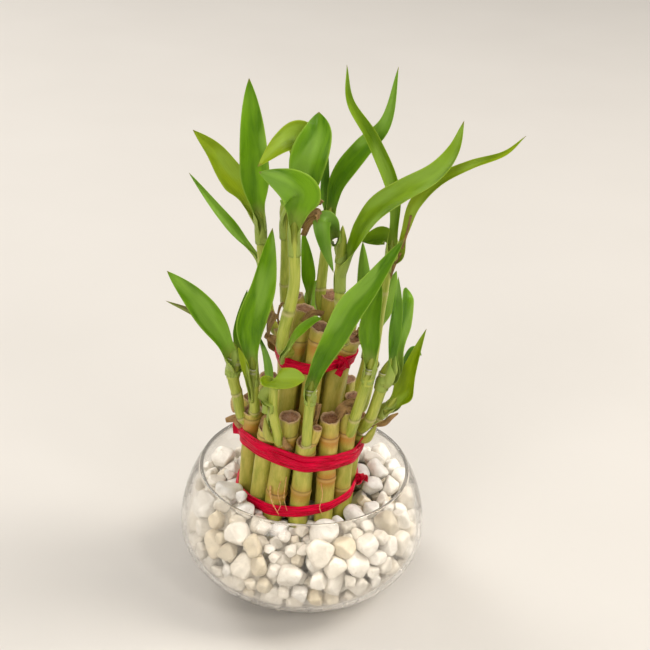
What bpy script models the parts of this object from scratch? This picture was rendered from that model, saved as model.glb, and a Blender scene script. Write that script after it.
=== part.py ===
"""Lucky bamboo: two tiers of cut stalks tied with ribbon, standing in a glass bowl of pebbles.

All sizes below are in millimetres; MM turns them into Blender's metres.
The origin is the centre of the bowl's flat base, +Z is up and -Y is the front.
Every stalk is one grown piece: the cut cane with the side shoots that came out of it.
Every leaf is a piece of its own, standing just clear of the shoot that carries it.
"""

import math

import bmesh
import bpy
from mathutils import Matrix, Vector

MM = 0.001

# Glass bowl
BOWL_RADIUS = 60.5        # at its widest
BOWL_HEIGHT = 64.0
WIDEST_HEIGHT = 31.0
RIM_RADIUS = 51.0
LOWER_DEPTH = 34.0        # vertical half axis of the lower curve, cut off flat at the table
GLASS_WALL = 2.4
RIM_BEAD = 1.5            # radius of the fire-polished rim
BEAD_START = 165.0        # degrees round the bead, from the inner wall over the top
BEAD_STEP = 37.5
BEAD_POINTS = 5
WALL_POINTS = 9
BOWL_STEPS = 40

# Pebbles: one block with the bowl's inner shape and a round well for the canes
PEBBLE_LEVEL = 49.0
PEBBLE_CLEARANCE = 1.0    # stones touch the round wall only at points
BED_POINTS = 8
WELL_RADIUS = 32.5
WELL_CENTRE = (-3.8, 0.0)
WELL_FLOOR = 11.0
CANE_FOOT = 12.0          # height of the canes' lower ends

# Canes and shoots
NODE_BULGE = 1.08         # how much a joint ring stands out of the cane
NODE_HALF_WIDTH = 1.3
SHOOT_NODE_BULGE = 1.1
SHOOT_STEPS = 7
CANE_RESOLUTION = 3       # bevel resolution: 10 sides
SHOOT_RESOLUTION = 2      # 8 sides
SHARP_ANGLE = 40.0        # degrees: the cut ends stay sharp, the sides are smooth

# Ribbons
RIBBON_THICKNESS = 0.8
RIBBON_CLEARANCE = 0.6
RIBBON_STEPS = 36

# Leaves
LEAF_THICKNESS = 0.7
LEAF_ROWS = 9
LEAF_BASE_WIDTH = 0.34    # of the widest place
LEAF_SHOULDER = 0.42      # how far along a leaf is fully broad
SLOW_SHOULDERS = {"lower_leaf_01": 0.8, "lower_leaf_07": 0.6}
LEAF_TIP_POWER = 0.9
LEAF_TIP_HALF_WIDTH = 0.5

# Outer tier, clockwise from the left seen from the front.
# waist = axis at WAIST_HEIGHT, top = upper end, then diameter and joint heights.
WAIST_HEIGHT = 52.0
OUTER_CANES = [
    {"waist": (-27.5, -7.0), "top": (-25.5, -8.0, 98), "diameter": 8.6, "joints": (30, 94)},
    {"waist": (-21.5, -16.0), "top": (-17.5, -17.0, 95), "diameter": 8.6, "joints": (36, 90)},
    {"waist": (-13.5, -22.0), "top": (-7.5, -20.5, 103), "diameter": 10.0, "joints": (25, 62, 93)},
    {"waist": (-1.5, -24.0), "top": (0.8, -25.5, 93), "diameter": 9.4, "joints": (24, 66, 87)},
    {"waist": (10.5, -21.5), "top": (11.2, -21.5, 104), "diameter": 9.0, "joints": (30, 71, 94)},
    {"waist": (18.0, -14.5), "top": (19.5, -15.5, 106), "diameter": 8.8, "joints": (22, 62, 93)},
    {"waist": (20.0, -5.0), "top": (23.5, -6.0, 97), "diameter": 9.0, "joints": (34, 93)},
    {"waist": (19.0, 5.5), "top": (22.5, 5.0, 100), "diameter": 9.2, "joints": (26, 66, 95)},
    {"waist": (15.5, 15.0), "top": (18.5, 15.5, 104), "diameter": 9.0, "joints": (38, 90)},
    {"waist": (7.0, 21.0), "top": (10.5, 22.0, 98), "diameter": 9.6, "joints": (28, 64, 92)},
    {"waist": (-3.5, 23.5), "top": (0.5, 24.5, 102), "diameter": 9.4, "joints": (33, 88)},
    {"waist": (-13.5, 21.0), "top": (-10.0, 22.0, 100), "diameter": 9.4, "joints": (24, 68, 94)},
    {"waist": (-22.0, 14.5), "top": (-19.5, 16.0, 103), "diameter": 9.0, "joints": (30, 88)},
    {"waist": (-27.0, 4.0), "top": (-26.5, 5.0, 97), "diameter": 9.0, "joints": (35, 66)},
]

# Inner tier: each cane bends a little at the upper ribbon, so its foot is given too.
BEND_HEIGHT = 124.0
INNER_CANES = [
    {"foot": (-16, -8), "waist": (-8.5, -8.0),
     "top": (-3.0, -3.5, 151), "diameter": 9.6, "joints": (40, 84, 135)},
    {"foot": (-6.5, -12.5), "waist": (2.5, -12.5),
     "top": (4.5, -13.0, 147), "diameter": 9.0, "joints": (52, 98, 139)},
    {"foot": (3, -7), "waist": (13.0, -8.0),
     "top": (18.5, -8.0, 140), "diameter": 10.0, "joints": (34, 80, 134)},
    {"foot": (4.5, 3), "waist": (15.0, 3.0),
     "top": (17.5, 5.0, 149), "diameter": 9.4, "joints": (46, 92, 136)},
    {"foot": (-2, 11), "waist": (8.0, 11.0),
     "top": (9.0, 10.0, 152), "diameter": 9.4, "joints": (30, 78, 130)},
    {"foot": (-13, 11), "waist": (-3.0, 11.5),
     "top": (-9.0, 11.0, 150), "diameter": 9.2, "joints": (44, 90, 138)},
    {"foot": (-17.5, 3), "waist": (-9.5, 2.5),
     "top": (-14.0, 2.0, 139), "diameter": 9.0, "joints": (38, 86, 132)},
]

# Side shoots: the cane they grow from, their centre line from inside the cane to the tip,
# the radius at the root and at the tip, and where along them (0 to 1) the joint rings sit.
SHOOTS = [
    ("outer_cane_01", [(-26, -8, 89), (-31, -8, 94), (-33, -9, 106), (-35, -10, 116), (-35, -10, 127)],
     2.2, 3.0, (0.22, 1.0)),
    ("outer_cane_01", [(-25.5, -8, 95), (-24.5, -12, 101), (-25, -15, 113), (-26, -16, 127)],
     2.6, 2.3, (0.3, 1.0)),
    ("outer_cane_03", [(-9, -21, 90), (-12, -25.5, 92), (-13, -28, 99), (-15, -32, 112), (-15, -34, 124)],
     2.4, 2.0, (0.22, 1.0)),
    ("outer_cane_04", [(0.7, -25.4, 89), (1, -28.5, 95), (1, -31, 106), (1.5, -33, 117), (2, -34, 126)],
     2.6, 2.1, (0.2, 1.0)),
    ("outer_cane_04", [(1.5, -25.5, 90), (4, -27.5, 95), (5, -28.5, 99), (5.5, -29, 103)],
     2.2, 2.2, (0.25, 1.0)),
    ("outer_cane_06", [(19, -15, 92), (21, -18.5, 95), (23, -22, 107), (26, -25, 122), (28.5, -26, 136)],
     2.4, 2.7, (0.16, 1.0)),
    ("outer_cane_07", [(23.3, -6, 89), (27, -11, 93), (30, -16, 102), (33, -20, 117), (35.5, -21.5, 130)],
     2.4, 2.7, (0.18, 1.0)),
    ("outer_cane_07", [(23.5, -6, 93), (29.5, -6.5, 94), (35.5, -9, 100), (39, -11.5, 107)],
     2.6, 2.3, (0.35, 1.0)),
    ("outer_cane_08", [(22, 5, 92), (27, 4, 97), (30, 3, 122), (32, 2, 152), (34.5, 2, 179)],
     2.6, 2.1, (0.17, 0.8, 1.0)),
    ("outer_cane_09", [(18.5, 15.5, 90), (23, 19, 94), (27, 23, 107), (29, 27, 122)],
     2.3, 2.3, (0.25, 1.0)),
    ("outer_cane_11", [(0, 24, 88), (1, 29.5, 92), (1, 34, 104), (0, 38, 120)],
     2.4, 2.2, (0.25, 1.0)),
    ("outer_cane_13", [(-20, 15.5, 88), (-24, 19.5, 93), (-28, 24, 104), (-30, 28, 118)],
     2.3, 2.2, (0.25, 1.0)),
    ("outer_cane_14", [(-26.5, 5, 92), (-31, 6, 92.5), (-36, 7, 91)],
     3.6, 3.9, (1.0,)),
    ("inner_cane_01", [(-7.5, -7.5, 131), (-12, -13.5, 134), (-12, -18.5, 146), (-8, -20, 170),
                       (-9, -20, 197)],
     3.1, 2.5, (0.62, 1.0)),
    ("inner_cane_03", [(16.8, -8, 136), (15.5, -12.5, 141), (13, -12, 153), (12, -10, 172), (12, -10, 188)],
     2.4, 2.3, (0.2, 1.0)),
    ("inner_cane_05", [(8.5, 10.5, 140), (4, 11, 146), (4, 12, 160), (6, 12, 189)],
     2.6, 2.2, (0.25, 0.55, 1.0)),
    ("inner_cane_06", [(-7, 11, 142), (-12, 6, 148), (-13, 2, 160), (-13, 0, 174), (-13.5, -1, 198)],
     2.4, 2.2, (0.5, 1.0)),
    ("inner_cane_07", [(-14.5, 2, 133), (-18.5, 0.5, 141), (-21, -1, 156), (-23, -2, 172), (-25, -2, 195)],
     2.4, 2.3, (0.6, 1.0)),
]

# Leaves: midrib from base to tip, greatest width, which way the blade faces at its base and
# at its tip, and how steeply the two halves fold up from the midrib (degrees).
LEAVES = {
    "upper_leaf_01": ([(-27, 0, 196.5), (-32.8, 1, 206), (-38.3, 1, 213.2),
                       (-45.3, 0, 223.4), (-55.1, 2, 231.8)],
                      14, (-0.5, -0.8, 0.6), (-0.2, -0.8, 0.5), 14, 2.8, "leaf_olive"),
    "upper_leaf_02": ([(-25.5, -3.5, 196.5), (-27.2, -6, 213), (-28.8, -6, 236), (-31, -1, 257)],
                      14, (0.2, -1, 0.2), (0, -1, 0.2), 18, 3.6, "leaf_green"),
    "upper_leaf_03": ([(-26.5, 2, 173), (-37, 6, 184), (-47, 9, 195), (-58, 12, 208)],
                      6.5, (0.2, -0.8, 0.8), (0.2, -1, 0.4), 25, 2.4, "leaf_green"),
    "upper_leaf_04": ([(-9, -20.5, 198.5), (-7.5, -24, 208.7), (-6.8, -27, 215.8), (-10.3, -29, 220.4),
                       (-16.2, -28, 222.8), (-24.4, -25, 224.3)],
                      19, (0.1, -1, 0.2), (0, -1, 0.6), 8, 2.8, "leaf_green"),
    "upper_leaf_05": ([(-14, 1, 200), (-10, 7.5, 208), (-5.5, 8.5, 217), (-8.3, 4.5, 230.1),
                       (-16, -4, 229.8), (-25.5, -16, 223.3)],
                      18.5, (0.3, -0.9, 0.2), (-0.2, -0.9, 0.4), 20, 2.8, "leaf_olive"),
    "upper_leaf_06": ([(-11.5, -2.5, 200), (-6.6, -5, 209.4), (-4.5, -7, 223.7),
                       (-1.2, -3, 234.6), (-0.9, 4, 242.2)],
                      18, (0.1, -1, 0.2), (0, -0.4, 1), 10, 2.6, "leaf_green"),
    "upper_leaf_07": ([(7, 12, 190), (9, 10, 208), (19, 8, 225), (29, 8, 238.5), (32.4, 14, 261)],
                      11.5, (-0.3, -1, 0.2), (-0.6, -0.8, 0.1), 20, 2.4, "leaf_green"),
    "upper_leaf_08": ([(5, 13.5, 190), (3, 13, 205), (3.5, 12, 224)],
                      6.5, (0.4, -1, 0.1), (0.3, -1, 0.1), 25, 2.0, "leaf_dark"),
    "upper_leaf_09": ([(-2, 14, 147), (-3, 15, 164), (-6, 17, 181)],
                      7.5, (0.2, -1, 0.1), (0, -1, 0.2), 20, 2.8, "leaf_green"),
    "upper_leaf_10": ([(11.5, -11.5, 189.5), (7, -15, 198), (3.2, -18, 200.5),
                       (4.6, -20.5, 191.5), (9, -18, 176.5)],
                      10, (-0.5, -0.4, 0.9), (-0.3, -1, 0.1), 14, 2.8, "leaf_dark"),
    "upper_leaf_11": ([(15.5, -10.5, 176), (19, -14, 191), (25.8, -18, 206.2), (36.6, -19, 216.4),
                       (49.9, -18, 225.4), (57.1, -13, 234.2), (60.6, -8, 245.5)],
                      12.5, (-1, -0.3, 0.2), (-0.3, -0.9, 0.3), 20, 3.0, "leaf_olive"),
    "upper_leaf_12": ([(34.5, 2, 180.5), (34, 0, 207), (23.2, 0, 232), (12.4, 2, 248), (10, 6, 263)],
                      8.5, (0, -1, 0.2), (0.2, -1, 0.2), 20, 1.7, "leaf_green"),
    "upper_leaf_13": ([(37, 0, 179.5), (39.3, -5, 192), (42.5, -8, 206.8), (51.4, -9, 218.4),
                       (64.9, -9, 226.4), (79.1, -7, 231.5), (88, -4, 239)],
                      7.5, (0.4, -0.9, 0.3), (0.1, -0.8, 0.7), 22, 1.8, "leaf_olive"),
    "upper_leaf_14": ([(36, 4.5, 181), (32.5, 7, 185), (27, 8.5, 183), (21.4, 9.5, 180)],
                      10, (0, -1, 0.1), (0, -1, 0.3), 16, 3.4, "leaf_olive"),
    "lower_leaf_01": ([(2, -34.5, 127), (4.8, -37, 139.3), (10.3, -40, 153.7), (16.8, -43, 170.2),
                       (25.3, -44, 184.4), (37.6, -42, 205.2)],
                      17, (-0.2, -1, 0.3), (-0.4, -0.8, 0.6), 18, 3.4, "leaf_green"),
    "lower_leaf_02": ([(28.5, -27, 137.5), (26.5, -30, 158), (30, -28, 177)],
                      11.5, (-0.3, -1, 0.2), (-0.2, -1, 0.2), 22, 2.8, "leaf_green"),
    "lower_leaf_03": ([(36, -22.5, 131), (37, -22, 155), (37.5, -20, 177)],
                      9, (0.8, -0.7, 0.1), (0.6, -0.8, 0.1), 22, 3.0, "leaf_dark"),
    "lower_leaf_04": ([(36.5, -19.5, 131), (41, -15, 147), (42.6, -11, 161), (42.2, -5, 165)],
                      10.5, (0.9, -0.6, 0.2), (0.7, -0.6, 0.6), 14, 4.0, "leaf_green"),
    "lower_leaf_05": ([(40, -12, 107.5), (45, -17, 118), (47, -20, 132), (52, -18, 151)],
                      13.5, (-0.3, -1, 0.2), (-0.9, -0.6, 0.1), 20, 2.0, "leaf_olive"),
    "lower_leaf_06": ([(40.5, -9, 108), (44, -8, 122), (48, -7, 133), (52, -6, 131)],
                      8, (0.6, -0.8, 0.2), (0.2, -0.6, 0.9), 15, 2.8, "leaf_dark"),
    "lower_leaf_07": ([(-36, -11.5, 128.4), (-42, -14, 143), (-52, -18, 160), (-64, -20, 174)],
                      15, (0.1, -0.9, 0.5), (-0.1, -0.9, 0.5), 14, 2.8, "leaf_green"),
    "lower_leaf_08": ([(-34.5, -8.5, 128.4), (-33, -5, 142), (-30, 0, 157)],
                      7.5, (0.6, -0.9, 0.1), (0.4, -1, 0.1), 24, 2.8, "leaf_dark"),
    "lower_leaf_09": ([(-37, -7.5, 128.6), (-39.4, 0, 130.3), (-48.4, 5, 137.3),
                       (-57.2, 8, 140.5), (-68.8, 10, 144.1)],
                      5, (0.1, -0.9, 0.6), (0, -0.9, 0.5), 22, 2.8, "leaf_dry"),
    "lower_leaf_10": ([(-26, -16.5, 127.8), (-27, -20, 149), (-21.6, -20, 170), (-18.6, -13, 194)],
                      14.5, (0.1, -1, 0.1), (0.2, -1, 0.1), 18, 3.6, "leaf_green"),
    "lower_leaf_11": ([(-27, -19.2, 120), (-29, -20.5, 130), (-32, -22, 139)],
                      4.5, (-0.2, -1, 0.1), (-0.3, -1, 0.1), 18, 2.8, "leaf_olive"),
    "lower_leaf_12": ([(-17, -21, 113), (-18, -20.5, 126), (-20, -17.5, 134), (-24, -13, 142)],
                      5, (0.3, -1, 0.1), (0.2, -1, 0.2), 20, 2.0, "leaf_dark"),
    "lower_leaf_13": ([(-15, -35, 124.8), (-15.5, -41, 133.3), (-8.3, -46, 137.6), (-0.5, -49, 139.8)],
                      12, (0.1, -0.2, 1), (0.1, -0.7, 0.8), 8, 5.5, "leaf_olive"),
    "lower_leaf_14": ([(-9.5, -22.5, 139), (-5, -24, 149), (1, -25.5, 156), (5, -26.5, 158)],
                      5, (-0.4, -0.8, 0.5), (-0.2, -0.8, 0.6), 16, 2.8, "leaf_green"),
    "lower_leaf_15": ([(30, 28, 122.8), (35, 33, 138), (40, 40, 152)],
                      11, (0.4, 0.9, 0.2), (0.4, 0.8, 0.5), 18, 2.8, "leaf_green"),
    "lower_leaf_16": ([(28, 26.5, 123), (25, 30, 146), (22.5, 36, 168.5)],
                      9.5, (-0.3, 1, 0.2), (-0.2, 1, 0.3), 20, 2.8, "leaf_green"),
    "lower_leaf_17": ([(0, 38.5, 121), (1, 46, 134), (4, 55, 142)],
                      12, (0, 1, 0.4), (0.1, 0.8, 0.8), 16, 2.8, "leaf_green"),
    "lower_leaf_18": ([(-31, 29, 119), (-29, 38, 131), (-26, 49, 136)],
                      10, (-0.3, 0.9, 0.5), (0, 0.6, 1), 16, 2.8, "leaf_olive"),
    "lower_leaf_19": ([(-29, 27.5, 119.2), (-26, 31, 137), (-20, 34, 152)],
                      9, (0.2, 1, 0.1), (0.2, 1, 0.2), 20, 2.8, "leaf_green"),
}

# Ribbons: tier they bind, mid height, rise towards +X and +Y, width, and the knot's bearing
RIBBONS = {
    "base_ribbon": ("outer", 56.5, 3.5, 1.0, 6.0, -12),
    "lower_ribbon": ("outer", 81.0, -2.5, -2.5, 7.5, 165),
    "upper_ribbon": ("inner", 128.0, 2.0, 0.5, 6.0, -50),
}
KNOT_SIZE = (4.0, 2.6, 3.4)

# colour, roughness, transmission
FINISHES = {
    "glass": ((0.93, 0.91, 0.86), 0.03, 1.0),
    "pebble": ((0.80, 0.77, 0.71), 0.45, 0.0),
    "cane": ((0.42, 0.44, 0.12), 0.38, 0.0),
    "ribbon": ((0.58, 0.01, 0.07), 0.35, 0.0),
    "leaf_green": ((0.10, 0.30, 0.04), 0.3, 0.0),
    "leaf_olive": ((0.24, 0.38, 0.05), 0.3, 0.0),
    "leaf_dark": ((0.07, 0.22, 0.05), 0.35, 0.0),
    "leaf_dry": ((0.20, 0.17, 0.08), 0.6, 0.0),
}


def clear_scene():
    for old in list(bpy.data.objects):
        bpy.data.objects.remove(old, do_unlink=True)


def new_collection(name):
    collection = bpy.data.collections.new(name)
    bpy.context.scene.collection.children.link(collection)
    return collection


def make_finish(name):
    colour, roughness, transmission = FINISHES[name]
    material = bpy.data.materials.new(name)
    material.use_nodes = True
    shader = material.node_tree.nodes["Principled BSDF"]
    shader.inputs["Base Color"].default_value = (*colour, 1.0)
    shader.inputs["Roughness"].default_value = roughness
    shader.inputs["Transmission Weight"].default_value = transmission
    material.diffuse_color = (*colour, 1.0)
    return material


def add_object(name, mesh, collection, material=None):
    item = bpy.data.objects.new(name, mesh)
    collection.objects.link(item)
    if material is not None:
        mesh.materials.append(material)
    return item


def as_cutter(item):
    item.hide_render = True
    item.display_type = "WIRE"
    return item


def join_with(item, other, operation):
    boolean = item.modifiers.new("join", "BOOLEAN")
    boolean.operation = operation
    boolean.object = other


def smooth_route(points, count):
    """Even samples of a smooth curve through the given points (Catmull-Rom)."""
    knots = [Vector(point) for point in points]
    knots = [knots[0] * 2 - knots[1]] + knots + [knots[-1] * 2 - knots[-2]]
    spans = len(knots) - 3
    samples = []
    for index in range(count):
        place = min(index / (count - 1) * spans, spans - 1e-6)
        span = int(place)
        t = place - span
        a, b, c, d = knots[span:span + 4]
        samples.append(0.5 * (2 * b + (c - a) * t + (2 * a - 5 * b + 4 * c - d) * t * t
                              + (3 * b - a - 3 * c + d) * t ** 3))
    return samples


# ---------------------------------------------------------------- bowl and pebbles

def wall_radius(height, inset):
    """The bowl's radius at a height, for its outer face (inset 0) or a face inside it."""
    reach = math.sqrt(1 - (RIM_RADIUS / BOWL_RADIUS) ** 2)
    rise = (BOWL_HEIGHT - WIDEST_HEIGHT) / reach if height > WIDEST_HEIGHT else LOWER_DEPTH
    fraction = (height - WIDEST_HEIGHT) / (rise - inset)
    return (BOWL_RADIUS - inset) * math.sqrt(max(0.0, 1 - fraction * fraction))


def wall_profile(low, high, inset, count):
    """Points on the wall from low to high, closer together where it curves most."""
    points = []
    for index in range(count):
        share = 1 - math.cos(index / (count - 1) * math.pi / 2)
        height = low + (high - low) * share
        points.append((wall_radius(height, inset), height))
    return points


def turned(name, profile, steps, collection, material):
    """A profile of (radius, height) pairs turned about the Z axis."""
    mesh = bpy.data.meshes.new(name)
    vertices = [(radius * MM, 0.0, height * MM) for radius, height in profile]
    edges = [(index, index + 1) for index in range(len(profile) - 1)]
    mesh.from_pydata(vertices, edges, [])
    item = add_object(name, mesh, collection, material)
    screw = item.modifiers.new("turn", "SCREW")
    screw.steps = steps
    screw.render_steps = steps
    screw.use_merge_vertices = True
    screw.merge_threshold = 0.00001
    screw.use_smooth_shade = True
    return item


def make_bowl(collection, material):
    bead_height = BOWL_HEIGHT - RIM_BEAD
    bead_centre = wall_radius(bead_height, GLASS_WALL / 2)
    inside = wall_profile(GLASS_WALL, bead_height - RIM_BEAD, GLASS_WALL, WALL_POINTS)
    bead = []
    for index in range(BEAD_POINTS):
        angle = math.radians(BEAD_START - BEAD_STEP * index)
        bead.append((bead_centre + RIM_BEAD * math.cos(angle), bead_height + RIM_BEAD * math.sin(angle)))
    outside = wall_profile(0.0, bead_height - RIM_BEAD, 0.0, WALL_POINTS)[::-1]
    profile = [(0.0, GLASS_WALL)] + inside + bead + outside + [(0.0, 0.0)]
    return turned("glass_bowl", profile, BOWL_STEPS, collection, material)


def make_pebble_bed(collection, cutters, material):
    inset = GLASS_WALL + PEBBLE_CLEARANCE
    side = wall_profile(inset, PEBBLE_LEVEL, inset, BED_POINTS)[::-1]
    profile = [(0.0, PEBBLE_LEVEL)] + side + [(0.0, inset)]
    bed = turned("pebble_bed", profile, BOWL_STEPS, collection, material)
    depth = PEBBLE_LEVEL
    mesh = bpy.data.meshes.new("well")
    form = bmesh.new()
    bmesh.ops.create_cone(form, cap_ends=True, segments=BOWL_STEPS, radius1=WELL_RADIUS * MM,
                          radius2=WELL_RADIUS * MM, depth=depth * MM)
    form.to_mesh(mesh)
    form.free()
    well = as_cutter(add_object("well", mesh, cutters))
    well.location = (WELL_CENTRE[0] * MM, WELL_CENTRE[1] * MM, (WELL_FLOOR + depth / 2) * MM)
    join_with(bed, well, "DIFFERENCE")
    return bed


# ---------------------------------------------------------------- canes and shoots

def tube(name, points, radii, sides_resolution, collection, material=None):
    """A closed round tube along a polyline; radii are in millimetres, one a point."""
    curve = bpy.data.curves.new(name, "CURVE")
    curve.dimensions = "3D"
    curve.bevel_depth = MM
    curve.bevel_resolution = sides_resolution
    curve.use_fill_caps = True
    spline = curve.splines.new("POLY")
    spline.points.add(len(points) - 1)
    for slot, point, radius in zip(spline.points, points, radii):
        slot.co = (*(point * MM), 1.0)
        slot.radius = radius
    guide = bpy.data.objects.new(name, curve)
    collection.objects.link(guide)
    evaluated = guide.evaluated_get(bpy.context.evaluated_depsgraph_get())
    mesh = bpy.data.meshes.new_from_object(evaluated)
    bpy.data.objects.remove(guide, do_unlink=True)
    form = bmesh.new()
    form.from_mesh(mesh)
    bmesh.ops.remove_doubles(form, verts=form.verts, dist=0.00001)
    form.to_mesh(mesh)
    form.free()
    mesh.name = name
    mesh.shade_smooth()
    mesh.set_sharp_from_angle(angle=math.radians(SHARP_ANGLE))
    return add_object(name, mesh, collection, material)


def cane_axis(cane, height):
    """The centre of a cane at a height: straight, or bent once where its foot is given."""
    top = Vector(cane["top"])
    if "foot" in cane:
        bend = Vector((*cane["waist"], BEND_HEIGHT))
        start = Vector((*cane["foot"], CANE_FOOT))
    else:
        bend = Vector((*cane["waist"], WAIST_HEIGHT))
        start = bend
    lower, upper = (start, bend) if "foot" in cane and height <= BEND_HEIGHT else (bend, top)
    share = (height - lower.z) / (upper.z - lower.z)
    return lower + (upper - lower) * share


def cane_stations(cane):
    """Heights and radius factors along a cane: its ends, its bend and its joint rings."""
    top = cane["top"][2]
    stations = [(CANE_FOOT, 1.0), (top, 1.0)]
    if "foot" in cane:
        stations.append((BEND_HEIGHT, 1.0))
    for joint in cane["joints"]:
        stations.append((joint - NODE_HALF_WIDTH, 1.0))
        stations.append((joint, NODE_BULGE))
        stations.append((joint + NODE_HALF_WIDTH, 1.0))
    return sorted(stations)


def make_cane(name, cane, collection, cutters, material):
    stations = cane_stations(cane)
    points = [cane_axis(cane, height) for height, _ in stations]
    radii = [cane["diameter"] / 2 * factor for _, factor in stations]
    item = tube(name, points, radii, CANE_RESOLUTION, collection, material)
    for index, (owner, route, root, tip, rings) in enumerate(SHOOTS):
        if owner != name:
            continue
        route_points = smooth_route(route, SHOOT_STEPS)
        shoot_radii = []
        for step in range(SHOOT_STEPS):
            along = step / (SHOOT_STEPS - 1)
            radius = root + (tip - root) * along
            if any(abs(along - ring) < 0.5 / (SHOOT_STEPS - 1) for ring in rings):
                radius *= SHOOT_NODE_BULGE
            shoot_radii.append(radius)
        shoot = tube(f"shoot_{index}", route_points, shoot_radii, SHOOT_RESOLUTION, cutters)
        join_with(item, as_cutter(shoot), "UNION")
    return item


# ---------------------------------------------------------------- ribbons

def reach_of_bundle(canes, bearing, height):
    """How far a bundle reaches from the Z axis towards a bearing, at a height."""
    direction = Vector((math.cos(bearing), math.sin(bearing), 0.0))
    return max(cane_axis(cane, height).dot(direction) + cane["diameter"] / 2 * NODE_BULGE
               for cane in canes)


def make_ribbon(name, canes, collection, cutters, material):
    _, mid, rise_x, rise_y, width, knot_bearing = RIBBONS[name]
    centre = Vector((0.0, 0.0, 0.0))
    for cane in canes:
        centre += cane_axis(cane, mid) / len(canes)
    centre.z = 0.0
    mesh = bpy.data.meshes.new(name)
    form = bmesh.new()
    bmesh.ops.create_cone(form, cap_ends=False, segments=RIBBON_STEPS,
                          radius1=1.0, radius2=1.0, depth=width)
    for vertex in form.verts:
        bearing = math.atan2(vertex.co.y, vertex.co.x)
        height = mid + rise_x * math.cos(bearing) + rise_y * math.sin(bearing) + vertex.co.z
        direction = Vector((math.cos(bearing), math.sin(bearing), 0.0))
        reach = reach_of_bundle(canes, bearing, height) - centre.dot(direction) + RIBBON_CLEARANCE
        vertex.co = (centre + direction * reach + Vector((0.0, 0.0, height))) * MM
    form.to_mesh(mesh)
    form.free()
    item = add_object(name, mesh, collection, material)
    solidify = item.modifiers.new("thickness", "SOLIDIFY")
    solidify.thickness = RIBBON_THICKNESS * MM
    solidify.offset = 1.0
    bearing = math.radians(knot_bearing)
    height = mid + rise_x * math.cos(bearing) + rise_y * math.sin(bearing)
    direction = Vector((math.cos(bearing), math.sin(bearing), 0.0))
    reach = reach_of_bundle(canes, bearing, height) - centre.dot(direction)
    reach += RIBBON_CLEARANCE + KNOT_SIZE[1]
    knot_mesh = bpy.data.meshes.new(f"{name}_knot")
    form = bmesh.new()
    bmesh.ops.create_icosphere(form, subdivisions=2, radius=MM)
    stretch = Matrix.Diagonal((KNOT_SIZE[0], KNOT_SIZE[1], KNOT_SIZE[2], 1.0))
    turn = Matrix.Rotation(bearing - math.pi / 2, 4, "Z")
    place = Matrix.Translation((centre + direction * reach + Vector((0.0, 0.0, height))) * MM)
    bmesh.ops.transform(form, matrix=place @ turn @ stretch, verts=form.verts)
    form.to_mesh(knot_mesh)
    form.free()
    knot = as_cutter(add_object(f"{name}_knot", knot_mesh, cutters))
    join_with(item, knot, "UNION")
    return item


# ---------------------------------------------------------------- leaves

def leaf_width(along, fullness, shoulder):
    """Share of the greatest width from base (0) to tip (1): a narrow sheath, a broad blade, a tip."""
    grow = min(1.0, along / shoulder)
    grow = grow * grow * (3 - 2 * grow)
    return (LEAF_BASE_WIDTH + (1 - LEAF_BASE_WIDTH) * grow) * (1 - along ** fullness) ** LEAF_TIP_POWER


def make_leaf(name, collection, materials):
    route, width, face_base, face_tip, fold, fullness, finish = LEAVES[name]
    shoulder = SLOW_SHOULDERS.get(name, LEAF_SHOULDER)
    samples = smooth_route(route, 4 * LEAF_ROWS + 1)
    mesh = bpy.data.meshes.new(name)
    form = bmesh.new()
    bmesh.ops.create_grid(form, x_segments=2, y_segments=LEAF_ROWS, size=1.0)
    tilt = math.radians(fold)
    for vertex in form.verts:
        across = vertex.co.x
        along = (vertex.co.y + 1) / 2
        index = round(along * (len(samples) - 1))
        ahead = samples[min(index + 1, len(samples) - 1)]
        behind = samples[max(index - 1, 0)]
        tangent = (ahead - behind).normalized()
        facing = Vector(face_base).lerp(Vector(face_tip), along)
        normal = (facing - facing.dot(tangent) * tangent).normalized()
        side = tangent.cross(normal)
        half = max(LEAF_TIP_HALF_WIDTH, width / 2 * leaf_width(along, fullness, shoulder))
        spread = side * across * half * math.cos(tilt) + normal * abs(across) * half * math.sin(tilt)
        vertex.co = (samples[index] + spread) * MM
    form.to_mesh(mesh)
    form.free()
    mesh.shade_smooth()
    item = add_object(name, mesh, collection, materials[finish])
    solidify = item.modifiers.new("thickness", "SOLIDIFY")
    solidify.thickness = LEAF_THICKNESS * MM
    solidify.offset = 0.0
    return item


def main():
    clear_scene()
    parts = new_collection("lucky_bamboo")
    cutters = new_collection("cutters")
    materials = {name: make_finish(name) for name in FINISHES}
    make_bowl(parts, materials["glass"])
    make_pebble_bed(parts, cutters, materials["pebble"])
    for number, cane in enumerate(OUTER_CANES, 1):
        make_cane(f"outer_cane_{number:02d}", cane, parts, cutters, materials["cane"])
    for number, cane in enumerate(INNER_CANES, 1):
        make_cane(f"inner_cane_{number:02d}", cane, parts, cutters, materials["cane"])
    for name, ribbon in RIBBONS.items():
        canes = OUTER_CANES if ribbon[0] == "outer" else INNER_CANES
        make_ribbon(name, canes, parts, cutters, materials["ribbon"])
    for name in LEAVES:
        make_leaf(name, parts, materials)


main()
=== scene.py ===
import math

import bmesh
import bpy
import numpy as np
from mathutils import Matrix, Vector


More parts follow.
